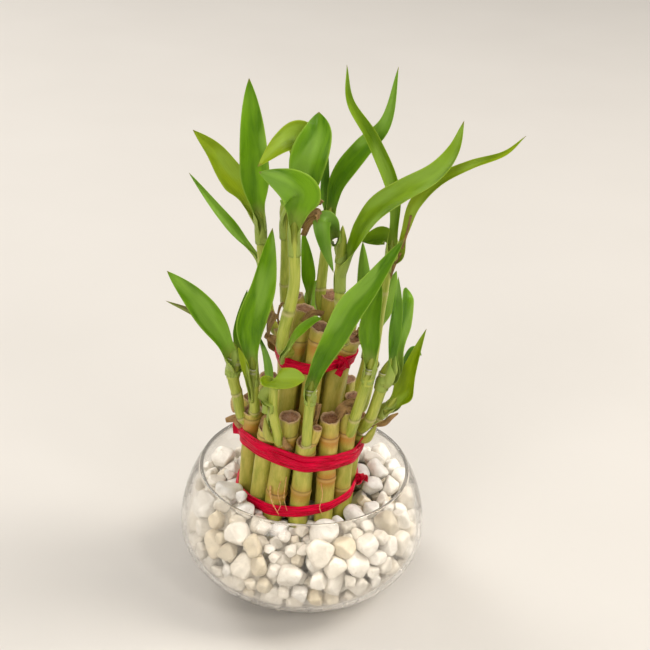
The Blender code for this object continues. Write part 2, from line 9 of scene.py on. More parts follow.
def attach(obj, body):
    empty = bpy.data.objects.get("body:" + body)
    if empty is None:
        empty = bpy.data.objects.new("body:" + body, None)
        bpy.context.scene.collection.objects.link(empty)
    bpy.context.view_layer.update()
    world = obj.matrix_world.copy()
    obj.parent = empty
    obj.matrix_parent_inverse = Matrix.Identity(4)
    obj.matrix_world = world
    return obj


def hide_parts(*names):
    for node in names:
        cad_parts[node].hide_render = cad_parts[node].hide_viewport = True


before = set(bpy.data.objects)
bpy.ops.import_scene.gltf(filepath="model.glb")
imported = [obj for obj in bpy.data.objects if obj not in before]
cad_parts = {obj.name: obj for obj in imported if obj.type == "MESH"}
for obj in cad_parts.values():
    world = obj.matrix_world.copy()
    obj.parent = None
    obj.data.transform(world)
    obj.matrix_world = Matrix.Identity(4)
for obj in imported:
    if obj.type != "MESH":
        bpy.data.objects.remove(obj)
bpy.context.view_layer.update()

MM = 0.001
TAU = 2 * math.pi

# ---------------------------------------------------------------- the object's own sizes, in millimetres

BOWL_RADIUS = 60.5
BOWL_HEIGHT = 64.0
WIDEST_HEIGHT = 31.0
RIM_RADIUS = 51.0
LOWER_DEPTH = 34.0
GLASS_WALL = 2.4
RIM_BEAD = 0.95
CANE_FOOT = 12.0
WAIST_HEIGHT = 52.0
BEND_HEIGHT = 124.0
BEND_SOFTNESS = 6.0

# waist, top, diameter, joint heights, cut tilt (rise towards +X and +Y), dryness
OUTER_CANES = [
    ((-27.5, -7.0), (-25.5, -8.0, 98), 8.6, (30, 94), (0.1, 0.1), 0.8),
    ((-21.5, -16.0), (-17.5, -17.0, 95), 8.6, (36, 90), (0.1, 0.3), 0.4),
    ((-13.5, -22.0), (-7.5, -20.5, 103), 10.0, (25, 62, 93), (0.16, 0.1), 0.55),
    ((-1.5, -24.0), (0.8, -25.5, 93), 9.4, (24, 66, 87), (0.05, 0.15), 0.2),
    ((10.5, -21.5), (11.2, -21.5, 104), 9.0, (30, 71, 94), (0.0, 0.12), 0.9),
    ((18.0, -14.5), (19.5, -15.5, 106), 8.8, (22, 62, 93), (0.1, 0.1), 0.5),
    ((20.0, -5.0), (23.5, -6.0, 97), 9.0, (34, 93), (0.1, -0.1), 0.3),
    ((19.0, 5.5), (22.5, 5.0, 100), 9.2, (26, 66, 95), (0.0, 0.1), 0.5),
    ((15.5, 15.0), (18.5, 15.5, 104), 9.0, (38, 90), (0.1, 0.0), 0.4),
    ((7.0, 21.0), (10.5, 22.0, 98), 9.6, (28, 64, 92), (0.0, -0.1), 0.6),
    ((-3.5, 23.5), (0.5, 24.5, 102), 9.4, (33, 88), (0.1, 0.1), 0.3),
    ((-13.5, 21.0), (-10.0, 22.0, 100), 9.4, (24, 68, 94), (-0.1, 0.1), 0.5),
    ((-22.0, 14.5), (-19.5, 16.0, 103), 9.0, (30, 88), (0.0, 0.1), 0.6),
    ((-27.0, 4.0), (-26.5, 5.0, 97), 9.0, (35, 66), (-0.1, 0.0), 0.7),
]

# foot, waist, top, diameter, joint heights, cut tilt, dryness
INNER_CANES = [
    ((-16, -8), (-8.5, -8.0), (-3.0, -3.5, 151), 9.6, (40, 84, 135), (0.08, 0.1), 0.6),
    ((-6.5, -12.5), (2.5, -12.5), (4.5, -13.0, 147), 9.0, (52, 98, 139), (-0.1, 0.1), 0.8),
    ((3, -7), (13.0, -8.0), (18.5, -8.0, 140), 10.0, (34, 80, 134), (0.1, 0.1), 0.7),
    ((4.5, 3), (15.0, 3.0), (17.5, 5.0, 149), 9.4, (46, 92, 136), (0.1, 0.0), 0.4),
    ((-2, 11), (8.0, 11.0), (9.0, 10.0, 152), 9.4, (30, 78, 130), (0.0, 0.1), 0.5),
    ((-13, 11), (-3.0, 11.5), (-9.0, 11.0, 150), 9.2, (44, 90, 138), (-0.1, 0.0), 0.6),
    ((-17.5, 3), (-9.5, 2.5), (-14.0, 2.0, 139), 9.0, (38, 86, 132), (0.0, -0.1), 0.7),
]

# cane it grows from, centre line, radius at the root and tip, ring places, open sheath at the top
SHOOTS = [
    ("outer_cane_01", [(-26, -8, 89), (-31, -8, 94), (-33, -9, 106), (-35, -10, 116), (-35, -10, 127)],
     2.2, 3.0, (0.22, 0.55), True),
    ("outer_cane_01", [(-25.5, -8, 95), (-24.5, -12, 101), (-25, -15, 113), (-26, -16, 127)],
     2.6, 2.3, (0.3,), True),
    ("outer_cane_03", [(-9, -21, 90), (-12, -25.5, 92), (-13, -28, 99), (-15, -32, 112), (-15, -34, 124)],
     2.4, 2.0, (0.22,), False),
    ("outer_cane_04", [(0.7, -25.4, 89), (1, -28.5, 95), (1, -31, 106), (1.5, -33, 117), (2, -34, 126)],
     2.6, 2.1, (0.2,), True),
    ("outer_cane_04", [(1.5, -25.5, 90), (4, -27.5, 95), (5, -28.5, 99), (5.5, -29, 103)],
     2.2, 2.2, (0.25,), False),
    ("outer_cane_06", [(19, -15, 92), (21, -18.5, 95), (23, -22, 107), (26, -25, 122), (28.5, -26, 136)],
     2.4, 2.7, (0.16, 0.45), True),
    ("outer_cane_07", [(23.3, -6, 89), (27, -11, 93), (30, -16, 102), (33, -20, 117), (35.5, -21.5, 130)],
     2.4, 2.7, (0.18, 0.5), True),
    ("outer_cane_07", [(23.5, -6, 93), (29.5, -6.5, 94), (35.5, -9, 100), (39, -11.5, 107)],
     2.6, 2.3, (0.35, 0.6), False),
    ("outer_cane_08", [(22, 5, 92), (27, 4, 97), (30, 3, 122), (32, 2, 152), (34.5, 2, 179)],
     2.6, 2.1, (0.17, 0.5, 0.8), False),
    ("outer_cane_09", [(18.5, 15.5, 90), (23, 19, 94), (27, 23, 107), (29, 27, 122)],
     2.3, 2.3, (0.25,), True),
    ("outer_cane_11", [(0, 24, 88), (1, 29.5, 92), (1, 34, 104), (0, 38, 120)],
     2.4, 2.2, (0.25,), True),
    ("outer_cane_13", [(-20, 15.5, 88), (-24, 19.5, 93), (-28, 24, 104), (-30, 28, 118)],
     2.3, 2.2, (0.25,), True),
    ("outer_cane_14", [(-26.5, 5, 92), (-31, 6, 92.5), (-36, 7, 91)],
     3.6, 3.9, (0.6,), False),
    ("inner_cane_01",
     [(-7.5, -7.5, 131), (-12, -13.5, 134), (-12, -18.5, 146), (-8, -20, 170), (-9, -20, 197)],
     3.1, 2.5, (0.35, 0.62), False),
    ("inner_cane_03", [(16.8, -8, 136), (15.5, -12.5, 141), (13, -12, 153), (12, -10, 172), (12, -10, 188)],
     2.4, 2.3, (0.2, 0.6), False),
    ("inner_cane_05", [(8.5, 10.5, 140), (4, 11, 146), (4, 12, 160), (6, 12, 189)],
     2.6, 2.2, (0.25, 0.55), False),
    ("inner_cane_06", [(-7, 11, 142), (-12, 6, 148), (-13, 2, 160), (-13, 0, 174), (-13.5, -1, 198)],
     2.4, 2.2, (0.3, 0.5), False),
    ("inner_cane_07", [(-14.5, 2, 133), (-18.5, 0.5, 141), (-21, -1, 156), (-23, -2, 172), (-25, -2, 195)],
     2.4, 2.3, (0.35, 0.6), False),
]
DEAD_STUBS = (4, 12)

# centre line, greatest width, facing at the base and at the tip, fold (degrees), fullness, finish
LEAVES = {
    "upper_leaf_01": ([(-27, 0, 196.5), (-32.8, 1, 206), (-38.3, 1, 213.2), (-45.3, 0, 223.4),
        (-55.1, 2, 231.8)], 14, (-0.5, -0.8, 0.6), (-0.2, -0.8, 0.5), 14, 2.8, "leaf_olive"),
    "upper_leaf_02": ([(-25.5, -3.5, 196.5), (-27.2, -6, 213), (-28.8, -6, 236), (-31, -1, 257)],
        14, (0.2, -1, 0.2), (0, -1, 0.2), 18, 3.6, "leaf_green"),
    "upper_leaf_03": ([(-26.5, 2, 173), (-37, 6, 184), (-47, 9, 195), (-58, 12, 208)], 6.5,
        (0.2, -0.8, 0.8), (0.2, -1, 0.4), 25, 2.4, "leaf_green"),
    "upper_leaf_04": ([(-9, -20.5, 198.5), (-7.5, -24, 208.7), (-6.8, -27, 215.8),
        (-10.3, -29, 220.4), (-16.2, -28, 222.8), (-24.4, -25, 224.3)], 19, (0.1, -1, 0.2),
        (0, -1, 0.6), 8, 2.8, "leaf_green"),
    "upper_leaf_05": ([(-14, 1, 200), (-10, 7.5, 208), (-5.5, 8.5, 217), (-8.3, 4.5, 230.1),
        (-16, -4, 229.8), (-25.5, -16, 223.3)], 20.5, (0.3, -0.9, 0.2), (-0.2, -0.9, 0.4), 20, 2.8,
        "leaf_olive"),
    "upper_leaf_06": ([(-11.5, -2.5, 200), (-6.6, -5, 209.4), (-4.5, -7, 223.7), (-1.2, -3, 234.6),
        (-0.9, 4, 242.2)], 18, (0.1, -1, 0.2), (0, -0.4, 1), 10, 4.4, "leaf_green"),
    "upper_leaf_07": ([(7, 12, 190), (9, 10, 208), (19, 8, 225), (29, 8, 238.5), (32.4, 14, 261)],
        11.5, (-0.3, -1, 0.2), (-0.6, -0.8, 0.1), 20, 2.4, "leaf_green"),
    "upper_leaf_08": ([(5, 13.5, 190), (3, 13, 205), (3.5, 12, 224)], 6.5, (0.4, -1, 0.1),
        (0.3, -1, 0.1), 25, 2, "leaf_dark"),
    "upper_leaf_09": ([(-2, 14, 147), (-3, 15, 164), (-6, 17, 181)], 7.5, (0.2, -1, 0.1),
        (0, -1, 0.2), 20, 2.8, "leaf_green"),
    "upper_leaf_10": ([(11.5, -11.5, 189.5), (7, -15, 198), (3.2, -18, 200.5), (4.6, -20.5, 191.5),
        (9, -18, 176.5)], 10, (-0.5, -0.4, 0.9), (-0.3, -1, 0.1), 14, 2.8, "leaf_dark"),
    "upper_leaf_11": ([(15.5, -10.5, 176), (19, -14, 191), (25.8, -18, 206.2), (36.6, -19, 216.4),
        (49.9, -18, 225.4), (57.1, -13, 234.2), (60.6, -8, 245.5)], 12.5, (-1, -0.3, 0.2),
        (-0.3, -0.9, 0.3), 20, 3, "leaf_olive"),
    "upper_leaf_12": ([(34.5, 2, 180.5), (34, 0, 207), (23.2, 0, 232), (12.4, 2, 248),
        (10, 6, 263)], 8.5, (0, -1, 0.2), (0.2, -1, 0.2), 20, 1.7, "leaf_green"),
    "upper_leaf_13": ([(37, 0, 179.5), (39.3, -5, 192), (42.5, -8, 206.8), (51.4, -9, 218.4),
        (64.9, -9, 226.4), (79.1, -7, 231.5), (88, -4, 239)], 7.5, (0.4, -0.9, 0.3), (0.1, -0.8, 0.7),
        22, 1.8, "leaf_olive"),
    "upper_leaf_14": ([(36, 4.5, 181), (32.5, 7, 185), (27, 8.5, 183), (21.4, 9.5, 180)], 10,
        (0, -1, 0.1), (0, -1, 0.3), 16, 3.4, "leaf_olive"),
    "lower_leaf_01": ([(2, -34.5, 127), (4.8, -37, 139.3), (10.3, -40, 153.7), (16.8, -43, 170.2),
        (25.3, -44, 184.4), (37.6, -42, 205.2)], 17, (-0.2, -1, 0.3), (-0.4, -0.8, 0.6), 18, 3.4,
        "leaf_green"),
    "lower_leaf_02": ([(28.5, -27, 137.5), (26.5, -30, 158), (30, -28, 177)], 11.5, (-0.3, -1, 0.2),
        (-0.2, -1, 0.2), 22, 2.8, "leaf_green"),
    "lower_leaf_03": ([(36, -22.5, 131), (37, -22, 155), (37.5, -20, 177)], 9, (0.8, -0.7, 0.1),
        (0.6, -0.8, 0.1), 22, 3, "leaf_dark"),
    "lower_leaf_04": ([(36.5, -19.5, 131), (41, -15, 147), (42.6, -11, 161), (42.2, -5, 165)], 10.5,
        (0.9, -0.6, 0.2), (0.7, -0.6, 0.6), 14, 4, "leaf_green"),
    "lower_leaf_05": ([(40, -12, 107.5), (45, -17, 118), (47, -20, 132), (52, -18, 151)], 13.5,
        (-0.3, -1, 0.2), (-0.9, -0.6, 0.1), 20, 2, "leaf_olive"),
    "lower_leaf_06": ([(40.5, -9, 108), (44, -8, 122), (48, -7, 133), (52, -6, 131)], 8,
        (0.6, -0.8, 0.2), (0.2, -0.6, 0.9), 15, 2.8, "leaf_dark"),
    "lower_leaf_07": ([(-36, -11.5, 128.4), (-42, -14, 143), (-52, -18, 160), (-64, -20, 174)], 15,
        (0.1, -0.9, 0.5), (-0.1, -0.9, 0.5), 14, 2.8, "leaf_green"),
    "lower_leaf_08": ([(-34.5, -8.5, 128.4), (-33, -5, 142), (-30, 0, 157)], 7.5, (0.6, -0.9, 0.1),
        (0.4, -1, 0.1), 24, 2.8, "leaf_dark"),
    "lower_leaf_09": ([(-37, -7.5, 128.6), (-39.4, 0, 130.3), (-48.4, 5, 137.3), (-57.2, 8, 140.5),
        (-68.8, 10, 144.1)], 5, (0.1, -0.9, 0.6), (0, -0.9, 0.5), 22, 2.8, "leaf_dry"),
    "lower_leaf_10": ([(-26, -16.5, 127.8), (-27, -20, 149), (-21.6, -20, 170), (-18.6, -13, 194)],
        14.5, (0.1, -1, 0.1), (0.2, -1, 0.1), 18, 3.6, "leaf_green"),
    "lower_leaf_11": ([(-27, -19.2, 120), (-29, -20.5, 130), (-32, -22, 139)], 4.5, (-0.2, -1, 0.1),
        (-0.3, -1, 0.1), 18, 2.8, "leaf_olive"),
    "lower_leaf_12": ([(-17, -21, 113), (-18, -20.5, 126), (-20, -17.5, 134), (-24, -13, 142)], 5,
        (0.3, -1, 0.1), (0.2, -1, 0.2), 20, 2, "leaf_dark"),
    "lower_leaf_13": ([(-15, -35, 124.8), (-15.5, -41, 133.3), (-8.3, -46, 137.6),
        (-0.5, -49, 139.8)], 12, (0.1, -0.2, 1), (0.1, -0.7, 0.8), 8, 5.5, "leaf_olive"),
    "lower_leaf_14": ([(-9.5, -22.5, 139), (-5, -24, 149), (1, -25.5, 156), (5, -26.5, 158)], 5,
        (-0.4, -0.8, 0.5), (-0.2, -0.8, 0.6), 16, 2.8, "leaf_green"),
    "lower_leaf_15": ([(30, 28, 122.8), (35, 33, 138), (40, 40, 152)], 11, (0.4, 0.9, 0.2),
        (0.4, 0.8, 0.5), 18, 2.8, "leaf_green"),
    "lower_leaf_16": ([(28, 26.5, 123), (25, 30, 146), (22.5, 36, 168.5)], 9.5, (-0.3, 1, 0.2),
        (-0.2, 1, 0.3), 20, 2.8, "leaf_green"),
    "lower_leaf_17": ([(0, 38.5, 121), (1, 46, 134), (4, 55, 142)], 12, (0, 1, 0.4),
        (0.1, 0.8, 0.8), 16, 2.8, "leaf_green"),
    "lower_leaf_18": ([(-31, 29, 119), (-29, 38, 131), (-26, 49, 136)], 10, (-0.3, 0.9, 0.5),
        (0, 0.6, 1), 16, 2.8, "leaf_olive"),
    "lower_leaf_19": ([(-29, 27.5, 119.2), (-26, 31, 137), (-20, 34, 152)], 9, (0.2, 1, 0.1),
        (0.2, 1, 0.2), 20, 2.8, "leaf_green"),
}
# how far along a leaf is fully broad, where it isn't LEAF_SHOULDER
SHOULDERS = {"lower_leaf_01": 0.8, "lower_leaf_07": 0.6, "upper_leaf_05": 0.72, "upper_leaf_06": 0.6,
             "upper_leaf_11": 0.22}
LEAF_SHOULDER = 0.42
# leaves between green and olive
MOSSY = ("upper_leaf_11", "upper_leaf_12", "upper_leaf_14")
# where a leaf that leaves its stalk below the top begins
LEAF_STARTS = {
    "upper_leaf_03": [(-23, -2, 160), (-24.2, -0.5, 167)],
    "upper_leaf_09": [(-7.0, 11.5, 136), (-3.9, 12.8, 142)],
    "lower_leaf_09": [(-35, -9.5, 119), (-35.6, -8.8, 124)],
    "lower_leaf_11": [(-25.6, -15.8, 108), (-26.0, -17.2, 114)],
    "lower_leaf_12": [(-18, -18, 94), (-17.4, -19.8, 104)],
    "lower_leaf_14": [(-11.5, -16.5, 130), (-11, -19.5, 134.5)],
}


# ---------------------------------------------------------------- mesh helpers

def smoothstep(value):
    value = np.clip(value, 0.0, 1.0)
    return value * value * (3 - 2 * value)


def bell(offset, width):
    return np.exp(-(offset / width) ** 2)


def unit(vectors):
    vectors = np.asarray(vectors, float)
    return vectors / np.maximum(np.linalg.norm(vectors, axis=-1, keepdims=True), 1e-9)


def run_of(path):
    """Distance along a path from its first point to each point."""
    return np.concatenate([[0], np.cumsum(np.linalg.norm(np.diff(path, axis=0), axis=1))])


def spline(points, places):
    """A smooth curve through the points (Catmull-Rom) at places counted in points."""
    points = np.asarray(points, float)
    padded = np.vstack([2 * points[0] - points[1], points, 2 * points[-1] - points[-2]])
    places = np.clip(np.asarray(places, float), 0, len(points) - 1 - 1e-6)
    span = places.astype(int)
    t = (places - span)[:, None]
    a, b, c, d = (padded[span + k] for k in range(4))
    return 0.5 * (2 * b + (c - a) * t + (2 * a - 5 * b + 4 * c - d) * t ** 2
                  + (3 * b - a - 3 * c + d) * t ** 3)


def frames(path, hint):
    """Tangents and two cross directions along a path, turning as little as possible."""
    tangents = unit(np.gradient(path, axis=0))
    side = np.asarray(hint, float)
    sides = []
    for tangent in tangents:
        side = unit(side - tangent * side.dot(tangent))
        sides.append(side)
    sides = np.array(sides)
    return tangents, sides, np.cross(tangents, sides)


def grid_faces(rows, columns):
    """Quads of rings of points, ring by ring."""
    row, column = np.meshgrid(np.arange(rows - 1), np.arange(columns), indexing="ij")
    following = (column + 1) % columns
    low, high = row * columns, (row + 1) * columns
    return np.stack([low + column, low + following, high + following, high + column], -1).reshape(-1, 4)


def cap(first, columns, centre, outward):
    """A fan that closes a ring of points with one point."""
    ring = [(first + index, first + (index + 1) % columns) for index in range(columns)]
    return [[*(pair if outward else pair[::-1]), centre] for pair in ring]


def closed_tube(grid, middle, root):
    """Points and faces of rings of points, closed at the far end by middle and at the near one by root."""
    rows, columns = grid.shape[:2]
    faces = grid_faces(rows, columns).tolist()
    faces += cap((rows - 1) * columns, columns, rows * columns, True)
    faces += cap(0, columns, rows * columns + 1, False)
    return np.vstack([grid.reshape(-1, 3), middle, root]), faces


def shell_faces(rows, columns, closed=False):
    """Quads of two layers of a grid of points, joined round the border; closed joins last row and first."""
    count = rows * columns
    index = np.arange(count).reshape(rows, columns)
    if closed:
        index = np.vstack([index, index[:1]])
    top = np.stack([index[:-1, :-1], index[1:, :-1], index[1:, 1:], index[:-1, 1:]], -1).reshape(-1, 4)
    faces = top.tolist() + (top[:, ::-1] + count).tolist()
    for line in (index[:, -1], index[::-1, 0]) + (() if closed else (index[0], index[-1, ::-1])):
        faces += np.stack([line[:-1], line[1:], line[1:] + count, line[:-1] + count], -1).tolist()
    return faces


def sweep(path, radii, columns, hint=(0.0, -1.0, 0.0)):
    """Points of a round tube: radii is one a row, or a row of one a column."""
    _, sides, ups = frames(path, hint)
    angles = np.arange(columns) / columns * TAU
    radii = np.broadcast_to(np.asarray(radii, float).reshape(len(path), -1), (len(path), columns))
    around = sides[:, None] * np.cos(angles)[None, :, None] + ups[:, None] * np.sin(angles)[None, :, None]
    return path[:, None] + around * radii[..., None], angles


def tube_flow(angles, run):
    """Texture places on a tube: round it and along it."""
    rows = len(run)
    return np.stack([np.tile(np.cos(angles), rows), np.tile(np.sin(angles), rows),
                     np.repeat(run, len(angles))], -1)


def with_zeros(extra, **values):
    """Point values of a grid, with zeros for the extra points that follow it."""
    return {key: np.concatenate([value.ravel(), np.zeros(extra)]) for key, value in values.items()}


class Form:
    """Gathers points (mm), faces and point values, and turns them into one mesh object."""

    def __init__(self):
        self.points, self.faces, self.face_materials, self.values, self.count = [], [], [], [], 0

    def add(self, points, faces, material=0, **values):
        points = np.asarray(points, float).reshape(-1, 3)
        self.points.append(points)
        self.faces += [[int(index) + self.count for index in face] for face in faces]
        self.face_materials += [material] * len(faces)
        self.values.append((len(points), values))
        self.count += len(points)

    def make(self, name, materials, slot, replaces=()):
        mesh = bpy.data.meshes.new(name)
        mesh.from_pydata((np.vstack(self.points) * MM).tolist(), [], self.faces)
        for key in sorted({key for _, values in self.values for key in values}):
            tail, kind, field = ((3,), "FLOAT_VECTOR", "vector") if key == "flow" else ((), "FLOAT", "value")
            blocks = []
            for length, values in self.values:
                block = np.asarray(values.get(key, 0.0), float)
                blocks.append(block.reshape(length, *tail) if block.ndim else np.full((length, *tail), block))
            mesh.attributes.new(key, kind, "POINT").data.foreach_set(field, np.concatenate(blocks).ravel())
        for material in materials:
            mesh.materials.append(material)
        if len(materials) > 1:
            mesh.polygons.foreach_set("material_index", self.face_materials)
        mesh.shade_smooth()
        mesh.update()
        item = bpy.data.objects.new(name, mesh)
        bpy.context.scene.collection.objects.link(item)
        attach(item, "root")
        if replaces:
            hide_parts(*replaces)
        return item


# ---------------------------------------------------------------- materials

class Shade:
    """A node material under construction; flow is the mesh's own texture place."""

    def __init__(self, name):
        self.material = bpy.data.materials.new(name)
        self.material.use_nodes = True
        self.tree = self.material.node_tree
        self.shader = self.tree.nodes["Principled BSDF"]
        self.output = self.tree.nodes["Material Output"]

    def node(self, kind, inputs=(), **settings):
        node = self.tree.nodes.new(kind)
        for key, value in settings.items():
            setattr(node, key, value)
        for key, value in dict(inputs).items():
            self.feed(node.inputs[key], value)
        return node

    def feed(self, socket, value):
        if isinstance(value, bpy.types.NodeSocket):
            self.tree.links.new(value, socket)
        elif socket.type == "RGBA" and len(value) == 3:
            socket.default_value = (*value, 1.0)
        else:
            socket.default_value = value

    def value(self, name):
        return self.node("ShaderNodeAttribute", attribute_name=name).outputs["Fac"]

    def noise(self, vector, scale, detail=3.0, roughness=0.55, distortion=0.0):
        return self.node("ShaderNodeTexNoise", {
            "Vector": vector, "Scale": scale, "Detail": detail, "Roughness": roughness,
            "Distortion": distortion}).outputs["Fac"]

    def grain(self, scale, detail=3.0, roughness=0.55):
        """Noise stretched along the piece."""
        flow = self.node("ShaderNodeAttribute", attribute_name="flow").outputs["Vector"]
        place = self.node("ShaderNodeMapping", {"Vector": flow, "Scale": scale}).outputs["Vector"]
        return self.noise(place, 1.0, detail, roughness)

    def spots(self, *scale_and_rest):
        """Noise that is even in all directions."""
        return self.noise(self.node("ShaderNodeTexCoord").outputs["Object"], *scale_and_rest)

    def math(self, operation, first, second, clamp=False):
        return self.node("ShaderNodeMath", {0: first, 1: second}, operation=operation,
                         use_clamp=clamp).outputs[0]

    def remap(self, value, low, high, new_low=0.0, new_high=1.0):
        return self.node("ShaderNodeMapRange", {
            "Value": value, "From Min": low, "From Max": high, "To Min": new_low,
            "To Max": new_high}).outputs["Result"]

    def ramp(self, value, stops):
        node = self.node("ShaderNodeValToRGB", {"Fac": value})
        elements = node.color_ramp.elements
        while len(elements) < len(stops):
            elements.new(0.5)
        for element, (place, colour) in zip(elements, stops):
            element.position, element.color = place, (*colour, 1.0)
        return node.outputs["Color"]

    def mix(self, share, first, second):
        node = self.node("ShaderNodeMix", data_type="RGBA")
        for number, value in ((0, share), (6, first), (7, second)):
            self.feed(node.inputs[number], value)
        return node.outputs[2]

    def fade(self, value, low, high, first, second, most=1.0):
        """From the first colour to the second as value goes from low to high."""
        return self.mix(self.remap(value, low, high, 0.0, most), first, second)

    def bump(self, height, strength, distance):
        normal = self.node("ShaderNodeBump", {"Height": height, "Strength": strength,
                                              "Distance": distance}).outputs["Normal"]
        self.feed(self.shader.inputs["Normal"], normal)
        return normal

    def set(self, **values):
        for key, value in values.items():
            self.feed(self.shader.inputs[key.replace("_", " ")], value)

    def blend(self, share, other):
        """Puts another shader over the main one."""
        both = self.node("ShaderNodeMixShader", {0: share, 1: self.shader.outputs[0], 2: other.outputs[0]})
        self.feed(self.output.inputs["Surface"], both.outputs[0])


def glass_material():
    shade = Shade("clear_glass")
    shade.set(Transmission_Weight=1.0, IOR=1.47, Base_Color=(1.0, 0.985, 0.955),
              Roughness=shade.remap(shade.spots(60.0, 4.0), 0.45, 0.75, 0.0, 0.05))
    shade.bump(shade.spots(28.0, 2.0), 0.12, 0.001)
    shadow = shade.node("ShaderNodeLightPath").outputs["Is Shadow Ray"]
    shade.blend(shade.math("MAXIMUM", shadow, 0.12),
                shade.node("ShaderNodeBsdfTransparent", {"Color": (0.97, 0.955, 0.93)}))
    return shade.material


def pebble_material():
    """Milky quartz chips: white to cream and grey, clouded inside, with a few brown veins."""
    shade = Shade("white_pebble")
    stone = shade.ramp(shade.value("tone"), [
        (0.0, (0.90, 0.88, 0.84)), (0.4, (0.86, 0.82, 0.75)), (0.72, (0.84, 0.79, 0.70)),
        (0.86, (0.76, 0.66, 0.48)), (0.93, (0.56, 0.52, 0.44)), (1.0, (0.90, 0.89, 0.87))])
    cloud = shade.spots(170.0, 5.0, 0.6, 0.8)
    clouded = shade.fade(cloud, 0.36, 0.62, shade.mix(0.42, stone, (0.42, 0.37, 0.29)), stone)
    vein = shade.spots(300.0, 3.0, 0.6, 2.0)
    shade.set(Base_Color=shade.fade(vein, 0.64, 0.74, clouded, (0.42, 0.34, 0.22), 0.5),
              Roughness=shade.remap(cloud, 0.3, 0.7, 0.25, 0.5), Coat_Weight=0.1, Coat_Roughness=0.2)
    shade.bump(shade.spots(700.0, 5.0), 0.35, 0.0007)
    return shade.material


def cane_material():
    """Green to straw-coloured bark with fine fibres, tan joint rings and a brown cut end."""
    shade = Shade("cane_bark")
    fibre = shade.grain((16.0, 16.0, 0.35), 4.0, 0.6)
    cloud = shade.grain((1.2, 1.2, 0.09))
    speck = shade.grain((9.0, 9.0, 2.2), 3.0, 0.7)
    green = shade.fade(cloud, 0.35, 0.65, (0.30, 0.330, 0.025), (0.56, 0.52, 0.090))
    dry = shade.fade(cloud, 0.35, 0.65, (0.36, 0.260, 0.020), (0.60, 0.44, 0.080))
    dryness = shade.math("ADD", shade.value("tone"), shade.math("MULTIPLY", cloud, 0.5))
    bark = shade.fade(dryness, 0.35, 1.35, green, dry)
    bark = shade.fade(fibre, 0.3, 0.75, bark, (0.68, 0.62, 0.17), 0.4)
    tan = shade.math("MULTIPLY", shade.value("tan"), shade.remap(speck, 0.25, 0.6, 0.45, 1.1), True)
    bark = shade.mix(tan, bark, (0.50, 0.225, 0.030))
    bark = shade.fade(speck, 0.70, 0.78, bark, (0.16, 0.09, 0.03), 0.6)
    bark = shade.mix(shade.value("ring"), bark, (0.55, 0.34, 0.10))
    bark = shade.mix(shade.value("seam"), bark, (0.14, 0.075, 0.025))
    grain = shade.spots(1500.0, 3.0, 0.7)
    pith = shade.ramp(shade.value("rad"), [
        (0.0, (0.30, 0.135, 0.070)), (0.5, (0.20, 0.075, 0.036)), (0.74, (0.13, 0.050, 0.022)),
        (0.88, (0.42, 0.25, 0.12)), (1.0, (0.60, 0.42, 0.22))])
    pith = shade.fade(grain, 0.42, 0.62, pith, (0.42, 0.24, 0.12), 0.6)
    pith = shade.fade(grain, 0.58, 0.68, pith, (0.09, 0.045, 0.02), 0.8)
    cut = shade.value("cut")
    shade.set(Base_Color=shade.mix(cut, bark, pith), Roughness=shade.remap(fibre, 0.3, 0.7, 0.34, 0.5),
              Specular_IOR_Level=0.4)
    shade.bump(shade.math("ADD", fibre, shade.math("MULTIPLY", cut, grain)), 0.35, 0.0004)
    return shade.material


def shoot_material():
    """The soft green skin of the side shoots and their papery pale sheath edges."""
    shade = Shade("shoot_skin")
    fibre = shade.grain((9.0, 9.0, 0.12), 4.0, 0.6)
    cloud = shade.grain((1.0, 1.0, 0.08), 2.0)
    skin = shade.fade(cloud, 0.35, 0.65, (0.20, 0.28, 0.006), (0.46, 0.50, 0.060))
    skin = shade.fade(fibre, 0.35, 0.7, skin, (0.62, 0.62, 0.15), 0.55)
    tan = shade.math("MULTIPLY", shade.value("tan"), shade.remap(cloud, 0.3, 0.6, 0.5, 1.0), True)
    skin = shade.mix(tan, skin, (0.47, 0.27, 0.09))
    for mark, colour in (("ring", (0.56, 0.47, 0.22)), ("seam", (0.13, 0.11, 0.03)),
                         ("rim", (0.80, 0.76, 0.55))):
        skin = shade.mix(shade.value(mark), skin, colour)
    shade.set(Base_Color=skin, Roughness=shade.remap(fibre, 0.3, 0.7, 0.32, 0.48), Specular_IOR_Level=0.4)
    shade.bump(fibre, 0.3, 0.0003)
    return shade.material


def dry_material():
    """Papery brown sheaths, dead stubs and withered leaf tips."""
    shade = Shade("dry_sheath")
    fibre = shade.grain((12.0, 12.0, 0.4), 4.0, 0.65)
    brown = shade.fade(shade.spots(260.0, 3.0), 0.35, 0.65, (0.17, 0.070, 0.016), (0.40, 0.21, 0.060))
    shade.set(Base_Color=shade.fade(fibre, 0.4, 0.72, brown, (0.62, 0.42, 0.17), 0.8),
              Roughness=shade.remap(fibre, 0.3, 0.7, 0.55, 0.75))
    shade.bump(fibre, 0.7, 0.0005)
    return shade.material


def root_material():
    shade = Shade("root_skin")
    speck = shade.spots(900.0, 3.0)
    shade.set(Base_Color=shade.fade(speck, 0.35, 0.65, (0.58, 0.24, 0.05), (0.72, 0.48, 0.20)),
              Roughness=shade.remap(speck, 0.3, 0.7, 0.4, 0.6))
    shade.bump(speck, 0.4, 0.0003)
    return shade.material


